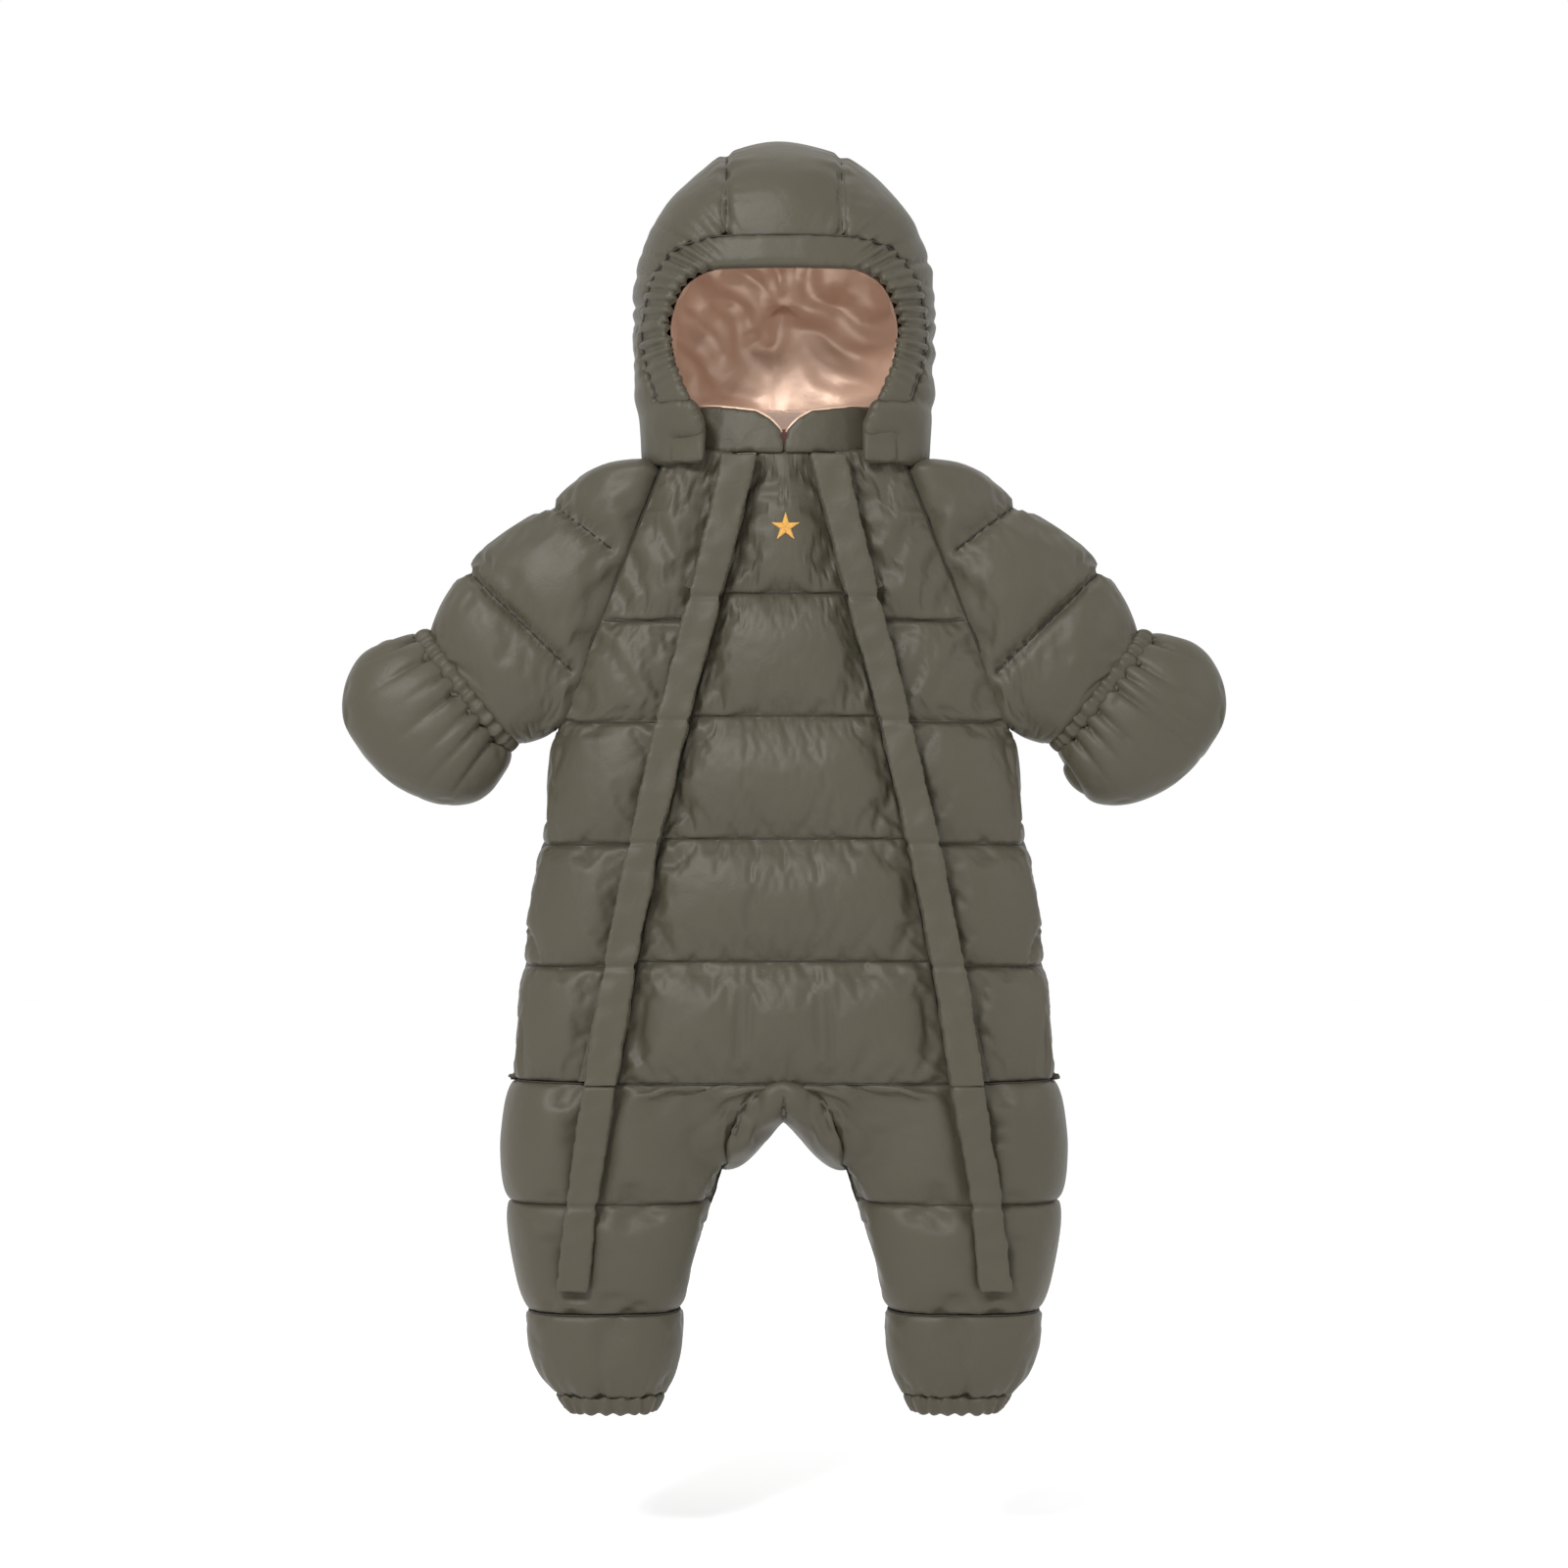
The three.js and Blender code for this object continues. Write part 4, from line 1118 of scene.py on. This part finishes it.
def build_hood_lining(spokes=96, rings=34):
    """Satin lining of the hood: spokes from the back of the head to its front edge."""
    lining = Shape("hood_lining")
    box_low, box_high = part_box("hood_lining")
    middle_z = box_low.z + 0.56 * (box_high.z - box_low.z)
    centre = Vector((0, 0.5 * (box_low.y + box_high.y), middle_z))

    def way_at(k, polar):
        angle = 2 * math.pi * k / spokes
        out = math.sin(polar)
        return Vector((out * math.cos(angle), math.cos(polar), out * math.sin(angle)))

    reach = []
    for k in range(spokes):
        lo, hi = 0.1, math.pi
        for _ in range(12):
            mid = 0.5 * (lo + hi)
            if lining.cast(centre, way_at(k, mid)) is not None:
                lo = mid
            else:
                hi = mid
        reach.append(lo - 0.02)
    reach = np.array(reach)
    for _ in range(3):
        reach = np.minimum(reach, 0.5 * reach + 0.25 * (np.roll(reach, 1) + np.roll(reach, -1)))
    grid = []
    for i in range(1, rings + 1):
        line = []
        for k in range(spokes):
            way = way_at(k, reach[k] * (i / rings))
            hit = lining.cast(centre, way)
            line.append(tuple(hit if hit is not None else centre + way * 60 * MM))
        grid.append(line)
    skin = Skin("hood_lining_satin", grid, wrap=True, outward=centre)
    skin.smooth(3)
    skin.p -= skin.normals() * 3.5 * MM
    return skin


def satin_folds(x, y, z):
    """Long diagonal folds of a loose satin lining."""
    lift = 0
    for slope, width, depth, seed in ((0.78, 30 * MM, 8 * MM, 2), (-0.70, 40 * MM, 5 * MM, 6)):
        u = 0.62 * x + slope * z + 0.3 * y
        v = 0.78 * x - slope * z
        bend = 0.8 * noise(v / (45 * MM), seed)
        lift += depth * (1 - 2.6 * abs(noise(u / width + bend, v / (95 * MM), seed)))
    return lift + 1.1 * MM * noise(x / (10 * MM), y / (16 * MM), z / (13 * MM))


# ---------------------------------------------------------------- materials


def principled(name):
    mat = bpy.data.materials.new(name)
    mat.use_nodes = True
    return mat, mat.node_tree, mat.node_tree.nodes["Principled BSDF"]


def add_node(tree, kind, **values):
    node = tree.nodes.new(kind)
    for key, value in values.items():
        node.inputs[key.replace("_", " ").title()].default_value = value
    return node


def noise_fac(tree, place, **values):
    node = add_node(tree, "ShaderNodeTexNoise", **values)
    tree.links.new(place, node.inputs["Vector"])
    return node.outputs["Fac"]


def vary_roughness(tree, shader, fac, least, most):
    node = add_node(tree, "ShaderNodeMapRange", to_min=least, to_max=most)
    tree.links.new(fac, node.inputs["Value"])
    tree.links.new(node.outputs["Result"], shader.inputs["Roughness"])


def bump_on(tree, height, strength, distance):
    node = add_node(tree, "ShaderNodeBump", strength=strength, distance=distance)
    tree.links.new(height, node.inputs["Height"])
    return node


def fabric(name, colour, drift, roughness, sheen, weave=0.5 * MM, weave_depth=0.05 * MM,
           crease=0.25 * MM, crease_size=9 * MM, specular=0.5, metallic=0.0):
    """Woven cloth: two crossed yarn directions, fine creases and a slow drift of colour."""
    mat, tree, shader = principled(name)
    link = tree.links.new
    place = add_node(tree, "ShaderNodeTexCoord").outputs["Object"]
    ramp = add_node(tree, "ShaderNodeValToRGB")
    for stop, at, value in zip(ramp.color_ramp.elements, (0.36, 0.64), (drift, colour)):
        stop.position = at
        stop.color = (*value, 1)
    link(noise_fac(tree, place, scale=9.0, detail=4.0), ramp.inputs["Fac"])
    link(ramp.outputs["Color"], shader.inputs["Base Color"])
    mottled = noise_fac(tree, place, scale=60.0, detail=3.0)
    vary_roughness(tree, shader, mottled, roughness - 0.06, roughness + 0.06)
    creases = noise_fac(tree, place, scale=1 / crease_size, detail=5.0, roughness=0.55, distortion=0.6)
    last = bump_on(tree, creases, 1.0, crease * 4)
    for direction in ("X", "Z"):
        yarn = add_node(tree, "ShaderNodeTexWave", scale=2 * math.pi / (20 * weave), distortion=0.3)
        yarn.bands_direction = direction
        link(place, yarn.inputs["Vector"])
        layer = bump_on(tree, yarn.outputs["Fac"], 0.35, weave_depth)
        link(last.outputs["Normal"], layer.inputs["Normal"])
        last = layer
    link(last.outputs["Normal"], shader.inputs["Normal"])
    shader.inputs["Sheen Weight"].default_value = sheen
    shader.inputs["Metallic"].default_value = metallic
    shader.inputs["Specular IOR Level"].default_value = specular
    return mat


def lacquered_metal(name, colour):
    mat, tree, shader = principled(name)
    place = add_node(tree, "ShaderNodeTexCoord").outputs["Object"]
    vary_roughness(tree, shader, noise_fac(tree, place, scale=900.0, detail=3.0), 0.25, 0.5)
    shader.inputs["Base Color"].default_value = (*colour, 1)
    shader.inputs["Metallic"].default_value = 0.85
    return mat


# Colour, the colour it drifts to, roughness and sheen of each cloth, then its weave and creases.
CLOTHS = {
    "quilted_nylon": ((0.058, 0.050, 0.033), (0.053, 0.047, 0.031), 0.46, 0.03,
                      dict(crease=0.12 * MM, crease_size=11 * MM, specular=0.3)),
    "satin_lining": ((0.64, 0.44, 0.33), (0.58, 0.39, 0.29), 0.38, 0.05,
                     dict(crease=0.1 * MM, crease_size=14 * MM, metallic=0.25)),
    "brushed_collar": ((0.47, 0.345, 0.28), (0.42, 0.30, 0.24), 0.85, 0.6,
                       dict(weave=0.9 * MM, crease=0.08 * MM, crease_size=4 * MM)),
    "gathered_elastic": ((0.057, 0.049, 0.032), (0.052, 0.046, 0.030), 0.48, 0.03,
                         dict(crease=0.15 * MM, crease_size=5 * MM, specular=0.3)),
    "zip_tape": ((0.069, 0.060, 0.042), (0.058, 0.050, 0.036), 0.8, 0.2,
                 dict(weave=0.9 * MM, weave_depth=0.12 * MM)),
    "zip_teeth": ((0.047, 0.042, 0.032), (0.042, 0.037, 0.028), 0.38, 0.0, dict(crease=0.01 * MM)),
    "ribbon": ((0.047, 0.037, 0.017), (0.038, 0.030, 0.014), 0.7, 0.3,
               dict(weave=1.1 * MM, weave_depth=0.2 * MM, crease=0.04 * MM)),
    "embroidery": ((0.60, 0.32, 0.05), (0.52, 0.26, 0.035), 0.4, 0.3,
                   dict(weave=0.6 * MM, weave_depth=0.1 * MM, crease=0.02 * MM)),
    "label": ((0.10, 0.016, 0.010), (0.085, 0.013, 0.008), 0.6, 0.3,
              dict(weave=0.7 * MM, weave_depth=0.1 * MM, crease=0.04 * MM)),
    # thread darker than the nylon: its own colour, with painted shade of the seam grooves mixed in
    "seam_thread": ((0.022, 0.019, 0.013), (0.018, 0.016, 0.011), 0.7, 0.0, dict(crease=0.02 * MM)),
}


@functools.cache
def looks():
    """Every material by name, made once."""
    made = {name: fabric(name, *look, **extra) for name, (*look, extra) in CLOTHS.items()}
    made["zip_metal"] = lacquered_metal("zip_metal", (0.153, 0.133, 0.102))
    return made


# ---------------------------------------------------------------- camera, light and floor


VIEW_WIDTH = 0.992  # metres across the photograph at the suit's front
VIEW_Z = -0.207  # height of the photograph's middle


def build_camera():
    data = bpy.data.cameras.new("camera")
    data.lens = 85
    data.sensor_width = 36
    camera = add_object("camera", data)
    distance = VIEW_WIDTH * data.lens / data.sensor_width
    camera.location = (0, MID_Y - 55 * MM - distance, VIEW_Z)
    camera.rotation_euler = (math.pi / 2, 0, 0)
    bpy.context.scene.camera = camera


LIGHT_AIM = Vector((0, 0, -0.2))


def area_light(name, place, power, size):
    data = bpy.data.lights.new(name, "AREA")
    data.energy = power
    data.size = size
    lamp = add_object(name, data)
    lamp.location = place
    lamp.rotation_euler = (LIGHT_AIM - Vector(place)).to_track_quat("-Z", "Y").to_euler()


def build_studio():
    area_light("key_light", (-0.9, -2.1, 1.1), 45, 0.5)
    area_light("side_light", (1.9, -1.0, 0.6), 7, 1.0)
    area_light("top_light", (0.1, 0.5, 1.9), 5, 1.2)
    bpy.context.scene.view_settings.view_transform = "Standard"
    world = bpy.data.worlds.new("studio")
    bpy.context.scene.world = world
    world.use_nodes = True
    background = world.node_tree.nodes["Background"].inputs
    background["Color"].default_value = (1, 1, 1, 1)
    background["Strength"].default_value = 1.0
    floor_z = TOE_Z - 90 * MM
    corners = [(x * 6.0, y * 6.0, floor_z) for x, y in ((-1, -1), (1, -1), (1, 1), (-1, 1))]
    floor = mesh_object("floor", corners, [(0, 1, 2, 3)], smooth=False)
    mat, _, shader = principled("floor_paint")
    shader.inputs["Base Color"].default_value = (0.99, 0.99, 0.99, 1)
    shader.inputs["Roughness"].default_value = 0.9
    floor.data.materials.append(mat)


# ---------------------------------------------------------------- putting it together


def hang_legs(obj):
    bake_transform(obj)


def hang_sleeve(obj, side):
    sign = SIDES[side]
    out = Vector((sign * -RAGLAN_DIR[1], 0, RAGLAN_DIR[0]))
    if out.x * sign < 0:
        out = -out
    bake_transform(obj)


def hang_hood(obj):
    pivot = Vector(joint("hood_fold")["pos_m"])
    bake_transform(obj)


def hang(obj):
    """Lets a foot or mitten piece ride on its own body and other pieces ride on the trunk; leg, sleeve and hood
    pieces only have their transform baked.
    """
    part = obj.name.split("_")[0]
    side = "left" if side_sign(obj) > 0 else "right"
    if part == "leg":
        hang_legs(obj)
    elif part == "foot":
        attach(obj, "lower_" + side)
    elif part == "sleeve":
        hang_sleeve(obj, side)
    elif part == "mitten":
        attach(obj, "mitt_" + side)
    elif part == "hood":
        hang_hood(obj)
    else:
        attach(obj, "trunk")


def dress(obj, slot, look=None):
    """Hangs a piece and gives it the material named by its slot, or by look when one is given."""
    hang(obj)
    obj.data.materials.clear()
    obj.data.materials.append(looks()[look or slot])


RELIEFS = {"mitten": cuff_gather, "sleeve": sleeve_relief, "foot": foot_gather, "crotch": gusset_relief}


def tube(name, lines, radius, sides=6):
    """Round threads along some lines of points, in one mesh."""
    verts, faces = [], []
    for line in lines:
        line = np.array(line, float)
        way = unit(np.gradient(line, axis=0))
        side = unit(np.cross(way, (0.03, 1, 0.02)))
        up = np.cross(side, way)
        base, last = len(verts), len(line) - 1
        for p, a, b in zip(line, side, up):
            for k in range(sides):
                angle = 2 * math.pi * k / sides
                verts.append(p + radius * (a * math.cos(angle) + b * math.sin(angle)))
        for i in range(last):
            a, b = base + i * sides, base + (i + 1) * sides
            for k in range(sides):
                n = (k + 1) % sides
                faces.append([a + k, a + n, b + n, b + k])
        faces.append([base + k for k in range(sides)][::-1])
        faces.append([base + last * sides + k for k in range(sides)])
    return mesh_object(name, verts, faces)


def build_motif(panel, points=5, threads=15):
    """Star in satin stitch: threads laid across each arm, raised in the middle."""
    bvh = joined_tree([panel])
    centre = 0.5 * (low("chest_motif") + high("chest_motif"))
    outer = 0.5 * (high("chest_motif").x - low("chest_motif").x) / math.cos(math.radians(18))
    inner = outer * math.sin(math.radians(18)) / math.sin(math.radians(54))
    lines = []

    def stitch(a, b, steps, rise):
        line = []
        for k in range(steps + 1):
            u = k / steps
            at = a * (1 - u) + b * u
            x, z = centre.x + at[0], centre.z + at[1]
            line.append((x, front_of(bvh, x, z) - rise(u), z))
        lines.append(line)

    for arm in range(points):
        angle = math.pi / 2 + arm * 2 * math.pi / points
        tip = np.array([math.cos(angle), math.sin(angle)]) * outer
        corners = [np.array([math.cos(angle + turn), math.sin(angle + turn)]) * inner
                   for turn in (-math.pi / points, math.pi / points)]
        for i in range(threads):
            share = (i + 0.5) / threads
            a, b = (c * (1 - share) + tip * share for c in corners)
            stitch(a, b, 6, lambda u: 0.9 * MM * math.sin(math.pi * u) * (1 - 0.5 * share) + 0.15 * MM)
        for i in range(5):
            a, b = (c * (1 - i / 5) for c in corners)
            stitch(a, b, 4, lambda u: 0.6 * MM)
    obj = tube("chest_star_stitches", lines, 0.34 * MM)
    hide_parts("chest_motif")
    return obj


def build_piping(collars, bins=46):
    """Satin piping along the top edge and the notch of the collar."""
    lines = []
    for obj in collars:
        co = vertex_array(obj)
        centre = np.array([0, MID_Y + 25 * MM])
        angle = np.arctan2(co[:, 1] - centre[1], co[:, 0])
        if obj.name.startswith("collar_back"):
            angle = np.where(angle < -math.pi / 2, angle + 2 * math.pi, angle)
        lo, hi = angle.min(), angle.max()
        order = []
        for i in range(bins):
            a, b = lo + (hi - lo) * i / bins, lo + (hi - lo) * (i + 1) / bins
            inside = np.nonzero((angle >= a) & (angle < b))[0]
            if len(inside):
                peak = inside[co[inside, 2] > co[inside, 2].max() - 1.2 * MM]
                order.append(co[peak].mean(0))
        line = smooth_line(order, 2)
        line[:, 2] += 0.5 * MM
        lines.append(line)
    return tube("collar_piping", lines, 1.1 * MM, 8)


def make_linings(skins):
    jobs = [
        ("front_lining_satin", "front_lining",
         ("centre_panel", "side_panel_left", "side_panel_right"), 0.34),
        ("back_lining_satin", "back_lining", ("back_skin",), 0.34),
    ]
    for side in SIDES:
        for part, width in (("sleeve", 0.18), ("leg", 0.2)):
            jobs.append((f"{part}_lining_satin_{side}", f"{part}_lining_{side}",
                         (f"{part}_skin_{side}",), width))
    for name, node, sources, width in jobs:
        obj = lining_of(name, node, [skin for skin in skins if skin.name in sources])
        dress(obj, "satin_lining")


def fold_skins(skins):
    """Quilts the skins, lets the air out of them into folds and adds the folds of each kind."""
    for skin in skins:
        if skin.name.startswith(("foot", "mitten")):
            skin.quilt(puff=1.5 * MM, depth=1.5 * MM)
        else:
            skin.quilt()
    simulate(skins, frames=18, pressure=6, growth=0.035, cap=8 * MM)
    for skin in skins:
        refine(skin)
        pucker(skin)
        if skin.name.startswith("side_panel"):
            clear_pull(skin)
        if skin.name.startswith("mitten"):
            refine(skin)
        for start, relief in RELIEFS.items():
            if skin.name.startswith(start):
                give_relief(skin, relief)


def make_quilted(skins):
    replaced = {"centre_panel": "centre_front_panel", "back_skin": "back_panel",
                "crotch_skin": "crotch_gusset"}
    for side in SIDES:
        for piece, node in (("side_panel", "side_front_panel"), ("leg_skin", "leg"),
                            ("foot_skin", "foot_section"), ("sleeve_skin", "sleeve"),
                            ("mitten_skin", "mitten")):
            replaced[f"{piece}_{side}"] = f"{node}_{side}"
    for skin in skins:
        obj = closed_skin(skin)
        lines = seam_lines(skin)
        if skin.name.startswith("sleeve"):
            lines += sleeve_quilt_lines(obj)
        # dark seam lines: the stitching, with painted shade of the seam grooves in their colour
        seams = tube(skin.name + "_seams", lines, THREAD_AND_SHADE_RADIUS, 5)
        dress(obj, "quilted_nylon")
        dress(seams, "quilted_nylon", "seam_thread")
        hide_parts(replaced[skin.name])


def make_hood():
    pieces = hood_pieces()
    for obj in pieces:
        dress(obj, "quilted_nylon")
    # dark seam lines: the stitching, with painted shade of the seam grooves in their colour
    seams = tube("hood_seams", hood_seam_lines(pieces), 0.6 * MM, 5)
    dress(seams, "quilted_nylon", "seam_thread")


def make_hood_lining():
    skin = build_hood_lining()
    rings, spokes = skin.p.shape[:2]
    ring = np.arange(rings)
    edge = np.minimum(1, np.minimum(ring / 3, (rings - 1 - ring) / 6))[:, None]
    folds = np.array([satin_folds(*p) for p in skin.p.reshape(-1, 3)]).reshape(rings, spokes) * edge
    skin.p -= skin.normals() * folds[..., None]
    verts = skin.p.reshape(-1, 3).tolist()
    faces = skin.faces()
    verts.append(np.mean(skin.p[0], axis=0).tolist())
    faces.extend([k, (k + 1) % spokes, len(verts) - 1] for k in range(spokes))
    obj = mesh_object(skin.name, verts, faces)
    obj.modifiers.new("thickness", "SOLIDIFY").thickness = 0.5 * MM
    obj.modifiers.new("fine", "SUBSURF").levels = 1
    apply_modifiers(obj)
    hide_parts("hood_lining", "hood_elastic")
    dress(obj, "satin_lining")


def make_collar():
    middle = Vector((0, MID_Y + 25 * MM, 0))
    collars = []
    for node in ("collar_front_left", "collar_front_right", "collar_back"):
        obj = softened(node + "_soft", node, 1.5 * MM, 4, 0.8 * MM,
                       soft_noise(0.35 * MM, 12 * MM, 12 * MM))
        dress(obj, "quilted_nylon")
        obj.data.materials.append(looks()["brushed_collar"])
        for face in obj.data.polygons:
            inward = (middle - face.center).to_2d().normalized()
            if face.normal.to_2d().dot(inward) > 0.05:
                face.material_index = 1
        collars.append(obj)
    dress(build_piping(collars), "satin_lining")


def main():
    build_camera()
    build_studio()
    skins = build_trunk_skins() + build_leg_skins() + build_crotch_skin() + build_sleeve_skins()
    skins += build_mitten_skins()
    make_linings(skins)
    fold_skins(skins)
    make_quilted(skins)
    make_hood()
    for obj in flap_pieces():
        dress(obj, "quilted_nylon")
    for obj in gathered_pieces():
        dress(obj, "gathered_elastic")
    make_hood_lining()
    make_collar()
    dress(build_motif(bpy.data.objects["centre_panel"]), "embroidery")

    slots = {s["node"]: s["material_slot"] for s in frame["record"]["subparts"]}
    for name, node in frame["nodes"].items():
        if slots.get(name) in looks():
            node.data.materials.clear()
            node.data.materials.append(looks()[slots[name]])


main()
